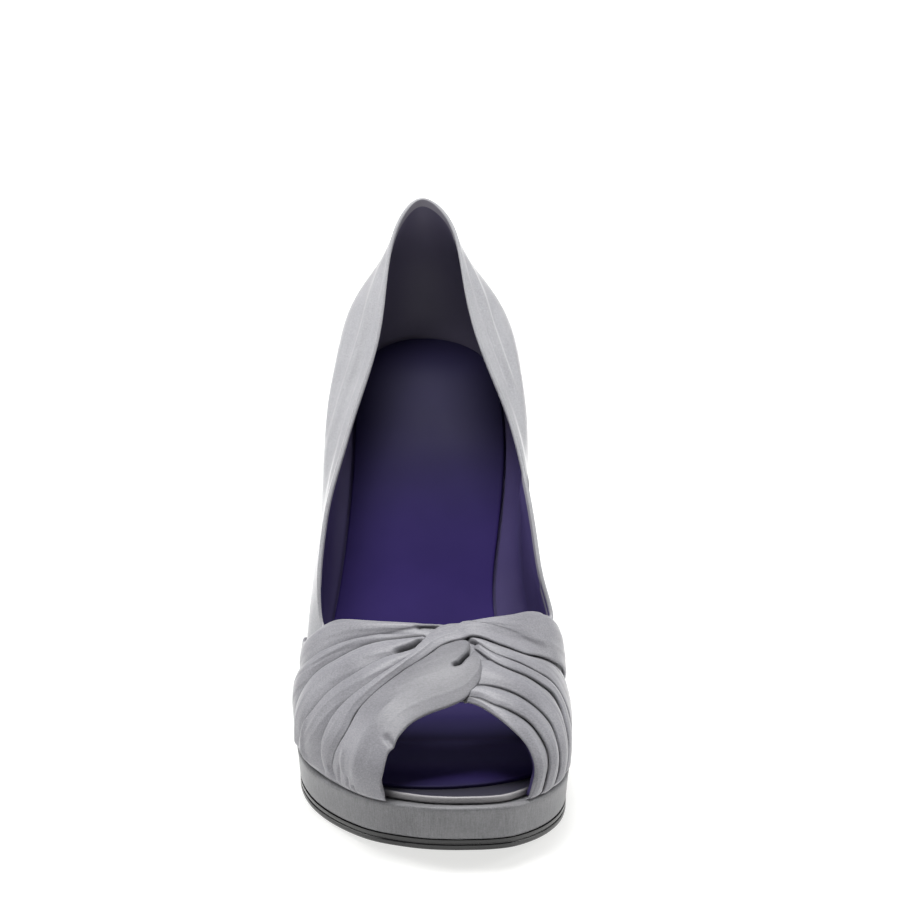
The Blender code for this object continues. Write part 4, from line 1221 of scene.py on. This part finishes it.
# The flap and the twist are one band. Its rows pair a front place with a back place.
BAND = (
    # front share, front station, back share, back station
    (1.00, 7.30, 1.00, 10.35),
    (0.88, 7.20, 0.86, 9.55),
    (0.72, 6.70, 0.62, 8.56),
    (0.59, 6.05, 0.36, 7.89),
    (0.50, 5.20, 0.12, 7.63),
    (0.43, 4.40, 1e-5, 7.60),
    (0.36, 3.80, 1e-5, 6.90),
    (0.28, 3.30, 1e-5, 6.20),
    (0.23, 3.20, 1e-5, 5.60),
    (0.17, 3.17, 1e-5, 5.10),
    (0.12, 3.25, 1e-5, 4.70),
    (0.08, 3.30, 1e-5, 4.40),
    (0.05, 3.25, 1e-5, 4.18),
    (0.03, 3.12, 1e-5, 4.02),
    (0.01, 3.02, -0.015, 3.93),
    (-0.01, 2.95, -0.04, 3.82),
    (-0.04, 2.80, -0.07, 3.50),
    (-0.06, 2.65, -0.085, 3.27),
    (-0.09, 2.40, -0.10, 3.05),
    (-0.12, 2.20, -0.12, 2.83),
    (-0.155, 2.05, -0.14, 2.58),
    (-0.19, 1.95, -0.165, 2.38),
    (-0.25, 1.80, -0.21, 2.22),
    (-0.32, 1.70, -0.28, 2.10),
    (-0.38, 1.65, -0.35, 2.05),
    (-0.46, 1.60, -0.44, 2.08),
    (-0.54, 1.50, -0.53, 2.10),
    (-0.61, 1.55, -0.61, 2.10),
    (-0.71, 1.70, -0.71, 2.10),
    (-0.79, 1.75, -0.80, 2.05),
    (-0.90, 1.60, -0.89, 1.96),
    (-1.00, 1.55, -1.00, 1.93),
)

# The big front fold. It starts at the lateral foot and laps over the ridge to its rounded end.
LOBE = (
    # front share, front station, back share, back station
    (-1.00, -0.22, -1.00, 1.55),
    (-0.88, -0.26, -0.87, 1.68),
    (-0.78, -0.20, -0.79, 1.75),
    (-0.69, -0.16, -0.70, 1.68),
    (-0.63, -0.18, -0.61, 1.55),
    (-0.57, -0.15, -0.56, 1.50),
    (-0.51, -0.10, -0.52, 1.50),
    (-0.47, -0.13, -0.49, 1.53),
    (-0.44, -0.12, -0.46, 1.57),
    (-0.40, -0.08, -0.42, 1.62),
    (-0.32, -0.07, -0.34, 1.69),
    (-0.24, -0.13, -0.25, 1.80),
    (-0.17, -0.20, -0.19, 1.95),
    (-0.10, -0.23, -0.12, 2.20),
    (-0.05, -0.17, -0.08, 2.45),
    (0.00, -0.02, -0.05, 2.72),
    (0.03, 0.12, -0.02, 2.88),
    (0.055, 0.35, 0.00, 2.98),
    (0.085, 0.72, 0.025, 3.02),
    (0.100, 1.10, 0.045, 2.92),
    (0.103, 1.45, 0.058, 2.70),
    (0.098, 1.78, 0.066, 2.45),
    (0.088, 2.00, 0.074, 2.22),
)
# The hindmost lateral fold, from the hem and throat down to the first crease
BACK_FOLD = (
    # front share, front station, back share, back station
    (-1.00, 7.20, -1.00, 10.35),
    (-0.85, 7.00, -0.84, 9.48),
    (-0.70, 6.50, -0.62, 8.56),
    (-0.58, 6.00, -0.36, 7.89),
    (-0.50, 5.60, -0.13, 7.63),
    (-0.43, 5.30, -1e-5, 7.60),
    (-0.37, 5.15, -1e-5, 7.00),
    (-0.31, 4.95, -1e-5, 6.45),
    (-0.26, 4.75, -1e-5, 5.85),
    (-0.21, 4.40, -1e-5, 5.30),
    (-0.17, 4.02, -1e-5, 4.80),
    (-0.13, 3.76, -1e-5, 4.40),
    (-0.08, 3.55, -1e-5, 4.12),
    (-0.05, 3.40, -0.01, 3.92),
)


def drape_end(v):
    # Back edge of the overlay: from its foot up to the throat corner.
    return DRAPE_CORNER + (DRAPE_END - DRAPE_CORNER) * (1 - v) ** HEM_CURVE


def at_throat(place):
    # One along the throat edge, falling to nothing on the ridge and down the hem.
    beside_ridge, before_throat, over = 0.14, 0.25, 0.9
    edge = 1 - smooth_step(np.abs(place[:, 0]) / beside_ridge)
    return edge * smooth_step((place[:, 1] - THROAT_STATION + before_throat) / over)


TUCK_IN = 0.0022        # a fold's tail runs on this far under the next fold
TAIL = (0.15, 0.3, 0.5, 0.6, 0.5)       # heights of a tail, in millimetres, from knot to sole
NOSE_HEIGHT = (2.2, 2.9, 3.1, 3.0, 2.5)     # and of a folded edge

# Creases, as rows of line, height, width and share that tapers at each end
HEM_POCKET = (np.array([(-0.085, 4.35), (-0.06, 4.1), (-0.035, 3.88), (-0.012, 3.72)]),
              -0.0018, 0.0009, 0.3)
KNOT_POCKET = (np.array([(-0.095, 3.30), (-0.120, 3.05), (-0.150, 2.93), (-0.205, 2.90)]),
               -0.0016, 0.0010, 0.25)
INNER_POCKET = (medial((2.95, 0.955), (2.6, 0.92), (2.2, 0.87)), -0.0016, 0.0020, 0.15)
SIDE_RIDGE = (LAT_3_RIDGE, 0.0009, 0.0013, 0.25)
BAND_RIDGE = (np.array([(0.45, 5.6), (0.30, 5.0), (0.16, 4.3), (0.06, 3.9), (0.0, 3.6)]),
              0.0006, 0.0028, 0.3)
LOBE_CREASES = (
    # the hook round the rounded end, and the dark hole behind it
    (np.array([(0.062, 2.95), (0.056, 2.70), (0.048, 2.40), (0.030, 2.10), (0.010, 1.85),
               (-0.005, 1.68), (-0.030, 1.62)]), -0.0026, 0.0006, 0.08),
    (np.array([(0.080, 3.0), (0.076, 2.70), (0.070, 2.40)]), -0.0026, 0.0011, 0.1),
    # two soft ridges along the side
    (lateral((1.30, 0.80), (0.90, 0.64), (0.85, 0.46), (0.72, 0.24), (0.66, 0.06)),
     0.0005, 0.0024, 0.35),
    (lateral((1.35, 0.42), (1.30, 0.30), (1.24, 0.18)), 0.0004, 0.0010, 0.35),
    # three small tucks at the foot, and the notch in the front edge
    (lateral((1.42, 0.32), (1.44, 0.18), (1.42, 0.0)), -0.0006, 0.0006, 0.3),
    (lateral((1.10, 0.24), (1.08, 0.12), (1.05, 0.0)), -0.0006, 0.0006, 0.3),
    (lateral((0.86, 0.16), (0.83, 0.08), (0.80, 0.0)), -0.0006, 0.0006, 0.3),
    (lateral((-0.4, 0.53), (0.0, 0.54), (0.35, 0.56)), -0.0007, 0.0009, 0.3),
)


def build_overlay():
    # Folded edges stand 2 to 3 mm proud of the last, tails are tucked low under the next fold.
    cloth("fold_lateral_back", BACK_FOLD, None, (0.8, 0.7, 0.6, 0.5, 0.3),
          (1.1, 1.3, 1.7, 1.9, 1.5), crown=0.7, fall=1.0, seed=0.3, roll=at_throat,
          tuck_first=TUCK_IN, rings=190, lines=(HEM_POCKET,))
    pleats = (
        # piece, edge line, tail line, edge height, tail height, crown, fall, shadow, seed, creases
        ("fold_lateral_1", LAT_1, LAT_2, NOSE_HEIGHT, TAIL, 0.9, 2.2, 0.5, 1.1, ()),
        ("fold_lateral_2", LAT_2, LAT_3, NOSE_HEIGHT, (0.1, 0.15, 0.5, 0.7, 0.6), 1.0, 2.4, 0.5,
         2.3, (KNOT_POCKET,)),
        ("fold_lateral_3", LAT_3, LAT_4, (2.8, 3.1, 3.3, 3.2, 2.5), TAIL, 0.7, 2.2, 0.5, 3.2,
         (SIDE_RIDGE,)),
        ("fold_medial_1", MED_2, MED_1, (1.9, 2.9, 3.1, 3.0, 2.4), TAIL, 0.7, 2.0, 0.85, 4.4, ()),
        ("fold_medial_2", MED_3, MED_2, (1.7, 2.6, 3.0, 3.0, 2.4), TAIL, 0.7, 2.0, 0.85, 5.7, ()),
        ("fold_medial_3", MED_4, MED_3, (2.2, 2.8, 3.0, 3.0, 2.4), TAIL, 0.9, 2.0, 0.85, 6.1,
         (INNER_POCKET,)),
        ("fold_medial_4", MED_5, MED_4, (2.2, 2.7, 2.9, 2.9, 2.4), TAIL, 0.8, 2.0, 0.85, 7.9, ()),
        ("fold_medial_5", MED_EDGE, MED_5, (1.8, 2.0, 2.3, 2.3, 2.0), TAIL, 0.6, 2.0, 0.85,
         8.2, ()),
    )
    for name, edge, behind, edge_height, tail_height, crown, fall, shadow, seed, lines in pleats:
        cloth(name, edge, behind, edge_height, tail_height, crown, fall, seed,
              tuck_second=TUCK_IN, shadow=shadow, lines=lines)
    # The front fold gets painted shade from its lateral side towards the ridge.
    cloth("front_lobe", LOBE, None, (2.2, 2.5, 2.6, 2.7, 2.9), (2.2, 2.5, 2.7, 2.7, 2.5), crown=0.6,
          fall=1.0, seed=9.5, rings=260, top_points=56, pulls=0.15, painted_shade_share=0.30, lines=LOBE_CREASES)
    cloth("twist_band", BAND, None, (2.6, 3.0, 3.1, 3.0, 2.85, 2.65, 2.35),
          (1.7, 1.9, 2.0, 2.9, 3.6, 3.5, 2.8), crown=0.4, fall=1.0, seed=10.4, roll=at_throat,
          rings=300, top_points=40, pulls=0.35, lines=(BAND_RIDGE,))


def sheet_piece(name, s, t, outer_height, inner_height, slot_material):
    # Closed shell over a grid of chart places, between two heights over the last.
    skin, normal = chart(s, t)
    outer, inner = (skin + normal * height for height in (outer_height, inner_height))
    return shell_between(name, outer, inner, slot_material)


def shell_between(name, outer, inner, slot_material):
    # Closed shell between two grids of points, joined along their border.
    rows, columns = outer.shape[:2]
    count = rows * columns
    for grid in (outer, inner):
        grid[..., 2] = np.maximum(grid[..., 2], seat(grid[..., 1]) - SEAT_GAP)
    points = np.concatenate([outer.reshape(-1, 3), inner.reshape(-1, 3)])
    top = grid_faces(rows, columns)
    faces = top + [[k + count for k in face[::-1]] for face in top]
    border = list(range(columns))
    border += [r * columns + columns - 1 for r in range(1, rows)]
    border += [(rows - 1) * columns + k for k in range(columns - 2, -1, -1)]
    border += [r * columns for r in range(rows - 2, 0, -1)]
    for a, b in zip(border, border[1:] + border[:1]):
        faces.append([a, b, b + count, a + count])
    return add_object(name, points, faces, slot_material, sharp=60)


def peep_edge(side, v):
    # Station of the overlay's front edge at shares up the wall.
    return monotone(column(PEEP_EDGE, 0), column(PEEP_EDGE, 1 if side > 0 else 2), v)


def front_edge(s):
    v = 1 - np.abs(s)
    return np.where(s <= 0, peep_edge(1, v), peep_edge(-1, v))


SEAT_GAP = 0.2 * GAP    # the upper's edge ends this far under the seat
NEARLY = 1e-5           # the ridge is kept to one side by this share
ACROSS = np.linspace(-1, 1, 161)
BASE_FRONT = 0.12       # the flat satin starts this far, in stations, behind the front edge
BASE_BACK = 0.05        # and ends this far before the hem


def build_base_cloth():
    # The flat satin under the folds, from the peep edge back to the hem.
    front = front_edge(ACROSS) + BASE_FRONT
    share = np.linspace(0, 1, 110)[:, None]
    sides = (
        ("base_cloth_lateral", ACROSS <= 0, -NEARLY),
        ("base_cloth_medial", ACROSS >= 0, NEARLY),
    )
    for name, pick, near in sides:
        s = np.where(np.abs(ACROSS[pick]) < NEARLY, near, ACROSS[pick])
        end = drape_end(1 - np.abs(ACROSS[pick])) - BASE_BACK
        t = front[pick] + (end - front[pick]) * share
        dress(sheet_piece(name, s, t, BASE_CLOTH, UNDER, DRAPE_SATIN), "vamp_drape", "drape_satin")


# Upper: satin outside, rolled over the topline, and a separate lining

LOOP_END = 2 * LAST_STATION
INSIDE_PLACE = np.array([0.0, 0.45 * LENGTH, 0.0])      # a place inside the shoe


def loop_point(turn, v):
    # Point of the last at stations that run on round the heel, to the other side's throat point.
    hand = turn <= LAST_STATION
    station = np.where(hand, turn, LOOP_END - turn)
    out = np.zeros(turn.shape + (3,))
    for side, mine in ((1, hand), (-1, ~hand)):
        if mine.any():
            out[mine] = last_point(side, station[mine], v[mine])
    return out


def loop_surface(turn, v):
    # Point, outward normal and station of the last, on a grid that runs round the heel.
    station = np.where(turn <= LAST_STATION, turn, LOOP_END - turn)
    turn, v = np.broadcast_arrays(turn, v)
    point = loop_point(turn, v)
    after, before = (np.clip(turn + step, THROAT_STATION, LOOP_END - THROAT_STATION)
                     for step in (STATION_STEP, -STATION_STEP))
    along = loop_point(after, v) - loop_point(before, v)
    higher, lower = (np.clip(v + step, 0, 1) for step in (SHARE_STEP, -SHARE_STEP))
    normal = unit(np.cross(along, loop_point(turn, higher) - loop_point(turn, lower)))
    flat = point - INSIDE_PLACE
    sample = 10         # column of the grid where inside and outside are told apart
    sign = np.sign(np.sum(normal[:, sample] * flat[:, sample] * np.array([1, 1, 0]), axis=-1))
    return point, normal * sign[:, None, None], station


# Soft lengthwise folds of the quarters: line, then height and width in millimetres
QUARTER_FOLDS = (
    (lateral((17.6, 0.96), (16.45, 0.90), (15.9, 0.86), (15.0, 0.79), (13.6, 0.68), (12.0, 0.55)),
     1.1, 2.3),
    (lateral((17.2, 0.99), (16.2, 0.94), (15.2, 0.88), (14.2, 0.83), (13.0, 0.80)), -0.8, 1.6),
    (lateral((16.6, 0.86), (15.6, 0.76), (14.2, 0.62), (12.6, 0.48)), -0.9, 2.4),
    (lateral((14.5, 0.94), (13.3, 0.90), (12.1, 0.88), (11.0, 0.88)), 0.6, 1.8),
    (medial((17.6, 0.93), (16.45, 0.86), (15.45, 0.80), (14.5, 0.73), (13.4, 0.62)), 1.1, 2.0),
    (medial((17.2, 0.97), (16.2, 0.90), (15.1, 0.845), (14.1, 0.785), (13.0, 0.71)), -0.9, 1.3),
    (medial((15.6, 0.89), (14.25, 0.84), (13.7, 0.77), (12.8, 0.71)), 0.7, 1.5),
    (medial((16.4, 0.80), (15.2, 0.70), (13.8, 0.56)), -0.8, 2.2),
    (medial((14.6, 0.93), (13.6, 0.91), (12.4, 0.91), (11.4, 0.93)), 0.5, 1.6),
)

QUARTER_TAPER = 0.3     # share of such a fold that tapers at each end
SEAM_DEPTH = 0.00035    # dent of the back seam
SEAM_WIDTH = 0.00045    # half width of that dent
SEAM_START = 17.0       # it shows from this station back, over one station
RIM_LIFT = 0.0001       # the rolled topline stands this far over the last
ROLL_SINK = 0.0004      # and this far below the last's edge
BACK_BINDING = 0.0010   # depth of the binding inside the quarters, up to BINDING at the centre back
BACK_RISE = (15.5, 3.5)     # it deepens from this station back, over so many
CORNER_BINDING = 9      # before this station it has its full depth
BINDING_LEAN = 0.0004   # its end stands this much farther in than its start
SATIN_BACK = 0.0008     # the satin's inner face under the last
LINING_FRONT = 0.0009   # the lining's outer face under it
LINING_TOP = 0.985      # share up the wall where the lining ends, behind the binding
LINING_THINS = (0.85, 0.13, 0.22)   # from this share up, over that much, it loses this share
COUNTER_TONE = (13.0, 3.5)      # the heel's part of the lining starts here, over so many stations
LAP = 0.02              # the vamp's lining runs on this far, in stations, behind the throat point
MARGIN_OUT = 0.0003     # the lasted margin starts this far inside the welt
MARGIN_IN = 0.0016      # and ends this far inside the wall
MARGIN_TURN = 0.075     # share of LENGTH from the toe where it starts


def quarter_relief(skin, stations):
    # Added height of the quarters' folds and the dent of the back seam.
    folds = [(line, high * MM, wide * MM, QUARTER_TAPER) for line, high, wide in QUARTER_FOLDS]
    behind = smooth_step((stations - SEAM_START) / 1.0)
    seam = np.abs(skin[..., 0])
    return creased(skin, folds) - SEAM_DEPTH * np.exp(-(seam / SEAM_WIDTH) ** 2) * behind


def round_the_heel(steps):
    return np.linspace(THROAT_STATION, LOOP_END - THROAT_STATION, steps)[:, None]


def build_quarters():
    shares = np.concatenate([np.linspace(0, 0.94, 44), np.linspace(0.95, 1.0, 7)])[None, :]
    skin, normal, stations = loop_surface(round_the_heel(361), shares)
    relief = quarter_relief(skin, stations)
    edge = skin[:, -1]
    edge_normal = normal[:, -1]
    up = edge - skin[:, -3]
    up = up / np.linalg.norm(up, axis=1, keepdims=True)
    station = stations[:, 0]
    deeper = smooth_step((station - BACK_RISE[0]) / BACK_RISE[1])
    depth = BACK_BINDING + (BINDING - BACK_BINDING) * deeper
    depth = np.where(station < CORNER_BINDING, BINDING, depth)
    rolled = []
    for phi in np.radians(np.linspace(72, -90, 11)):
        height = -RIM / 2 + (RIM / 2 + RIM_LIFT) * math.sin(phi)
        rolled.append(edge + edge_normal * height + up * (PIPING * math.cos(phi) - ROLL_SINK))
    for share in (0.25, 0.5, 0.75, 1.0):
        away = -RIM - RIM_LIFT - BINDING_LEAN * share
        rolled.append(edge + edge_normal * away - up * (depth * share)[:, None])
    rolled.append(edge - edge_normal * (RIM * 0.75) - up * (depth + 0.0002)[:, None])
    inner = skin[:, :-7][:, ::-1] - normal[:, :-7][:, ::-1] * SATIN_BACK
    outer = skin + normal * relief[..., None]
    rings = np.concatenate([outer, np.stack(rolled, axis=1), inner], axis=1)
    rings[..., 2] = np.maximum(rings[..., 2], seat(rings[..., 1]) - SEAT_GAP)
    for k in (0, -1):
        rings[:, k, 2] = seat(rings[:, k, 1]) - SEAT_GAP
    piece = stacked("quarter_satin", rings, QUARTER_SATIN, one_face, sharp=75)
    # Painted shade: the turned-in rows of the rolled topline are coloured darker.
    inside = np.zeros(rings.shape[1])
    first = shares.shape[1] + 9
    inside[first:first + 6] = 1.0
    paint(piece, "binding", np.tile(inside, len(rings)))
    dress(piece, "upper", "upper_satin")


def build_margin():
    # The lasted edge of the upper, turned in flat under the insole.
    front = turn_of(MARGIN_TURN, 1)
    turns = np.linspace(-front, front, 421)
    outer = WELT + MARGIN_OUT
    inner = WELT + WALL + MARGIN_IN
    corners = ((outer, -SEAT_GAP), (inner, -SEAT_GAP), (inner, 0.95 * GAP), (outer, 1.3 * GAP))
    rings = []
    for inset, lift in corners:
        flat = outline_inset(turns, np.full(len(turns), inset))
        rings.append(np.column_stack([flat, seat(flat[:, 1]) + lift]))
    piece = stacked("lasting_margin", np.stack(rings, axis=1), LINING_LEATHER, one_face, EDGE_ANGLE)
    dress(piece, "upper", "upper_satin")


def build_lining():
    # The leather lining inside the quarters, and its continuation under the vamp.
    shares = np.linspace(0, LINING_TOP, 44)[None, :]
    skin, normal, stations = loop_surface(round_the_heel(301), shares)
    thins, over, loss = LINING_THINS
    thin = 1 - loss * smooth_step((shares - thins) / over)
    inside = skin - normal * (WALL * thin)[..., None]
    quarters = shell_between("quarter_lining", skin - normal * LINING_FRONT, inside, LINING_LEATHER)
    heel_side = smooth_step((stations - COUNTER_TONE[0]) / COUNTER_TONE[1])
    paint(quarters, "counter", np.tile(np.broadcast_to(heel_side, skin.shape[:2]).ravel(), 2))
    front = front_edge(ACROSS) + PEEP_TUCK
    t = front + (THROAT_STATION + LAP - front) * np.linspace(0, 1, 60)[:, None]
    vamp = sheet_piece("vamp_lining", ACROSS, t, -UNDER, -WALL, LINING_LEATHER)
    for piece in (quarters, vamp):
        dress(piece, "upper", "upper_satin")


def dress_rest():
    rest = (
        (build_outsole(), "outsole", "black_sole"),
        (build_platform(), "platform", "cover_satin"),
        (build_insole(), "insole", "insole_satin"),
        (build_sock(), "sock", "purple_sock"),
        (build_heel(), "heel", "heel_satin"),
        (build_top_lift(), "top_lift", "lift_rubber"),
    )
    for piece, node, slot_name in rest:
        dress(piece, node, slot_name)


dress_rest()
build_margin()
build_lining()
build_quarters()
build_base_cloth()
build_overlay()


# Floor, light and camera

FLOOR_REACH = 6.0
DOME_RADIUS = 5.5
FLOOR_GLOW = (0.3, 1.5, 0.70, 0.93)     # from this distance to that, the floor's glow grows so
LIGHTS = (
    # name, place, size, power
    ("softbox_top", (-0.10, 0.24, 1.2), (0.7, 0.5), 17.5),
    ("softbox_left", (-1.1, 0.30, 0.55), (0.5, 0.9), 5.5),
    ("softbox_right", (1.1, 0.30, 0.55), (0.5, 0.9), 6.0),
)
LIT_PLACE = (0.0, 0.04, 0.06)
SKY_STRENGTH = 0.20
CAMERA_UP = 19.0        # degrees over the floor
CAMERA_ROUND = -2.0     # degrees round from straight before the toe
CAMERA_DISTANCE = 0.9447
CAMERA_TARGET = (0.00648, 0.044, 0.10117)
CAMERA_LENS = 114.19    # millimetres, on a sensor 36 wide


def shining(name, colour, roughness, shine, strength):
    # Dull material that gives off light.
    return material(name, colour, roughness, (
        ("Specular IOR Level", 0.0),
        ("Emission Color", (*shine, 1.0)),
        ("Emission Strength", strength),
    ))


def build_stage():
    # A pale floor that glows a little, as a light table does. Only the camera sees the dome.
    mesh = bpy.data.meshes.new("studio_floor")
    signs = ((-1, -1), (1, -1), (1, 1), (-1, 1))
    corners = [(x * FLOOR_REACH, y * FLOOR_REACH, 0) for x, y in signs]
    mesh.from_pydata(corners, [], [(0, 1, 2, 3)])
    floor = bpy.data.objects.new("studio_floor", mesh)
    bpy.context.scene.collection.objects.link(floor)
    paper = shining("floor_white", (0.42, 0.42, 0.415), 0.9, (1.0, 1.0, 0.985), FLOOR_GLOW[2])
    n = Nodes(paper)
    length = n.add("ShaderNodeVectorMath", operation="LENGTH")
    n.put(length.inputs[0], n.place)
    n.finish(Emission_Strength=n.remap(length.outputs["Value"], *FLOOR_GLOW))
    mesh.materials.append(paper)
    dome_mesh = bpy.data.meshes.new("studio_dome")
    work = bmesh.new()
    bmesh.ops.create_uvsphere(work, u_segments=48, v_segments=24, radius=DOME_RADIUS)
    work.to_mesh(dome_mesh)
    work.free()
    dome = bpy.data.objects.new("studio_dome", dome_mesh)
    bpy.context.scene.collection.objects.link(dome)
    dome_mesh.materials.append(shining("dome_white", (0.0, 0.0, 0.0), 1.0, (1.0, 1.0, 1.0), 1.0))
    for ray in ("diffuse", "glossy", "shadow", "transmission"):
        setattr(dome, "visible_" + ray, False)


def area_light(name, place, size, energy):
    lamp = bpy.data.lights.new(name, "AREA")
    lamp.shape = "RECTANGLE"
    lamp.size, lamp.size_y = size
    lamp.energy = energy
    holder = bpy.data.objects.new(name, lamp)
    holder.location = place
    aim = Vector(LIT_PLACE) - Vector(place)
    holder.rotation_euler = aim.to_track_quat("-Z", "Y").to_euler()
    bpy.context.scene.collection.objects.link(holder)


def build_light():
    world = bpy.data.worlds.new("studio")
    world.use_nodes = True
    sky = world.node_tree.nodes["Background"]
    sky.inputs["Color"].default_value = (1.0, 1.0, 1.0, 1.0)
    sky.inputs["Strength"].default_value = SKY_STRENGTH
    bpy.context.scene.world = world
    for light in LIGHTS:
        area_light(*light)
    bpy.context.scene.view_settings.view_transform = "Standard"


def build_camera():
    up = math.radians(CAMERA_UP)
    turn = math.radians(CAMERA_ROUND)
    back = Vector((math.sin(turn) * math.cos(up), -math.cos(turn) * math.cos(up), math.sin(up)))
    lens = bpy.data.cameras.new("photo_camera")
    lens.lens = CAMERA_LENS
    lens.sensor_width = 36.0
    lens.clip_start = 0.01
    holder = bpy.data.objects.new("photo_camera", lens)
    holder.location = Vector(CAMERA_TARGET) + back * CAMERA_DISTANCE
    holder.rotation_euler = back.to_track_quat("Z", "Y").to_euler()
    bpy.context.scene.collection.objects.link(holder)
    bpy.context.scene.camera = holder


build_stage()
build_light()
build_camera()
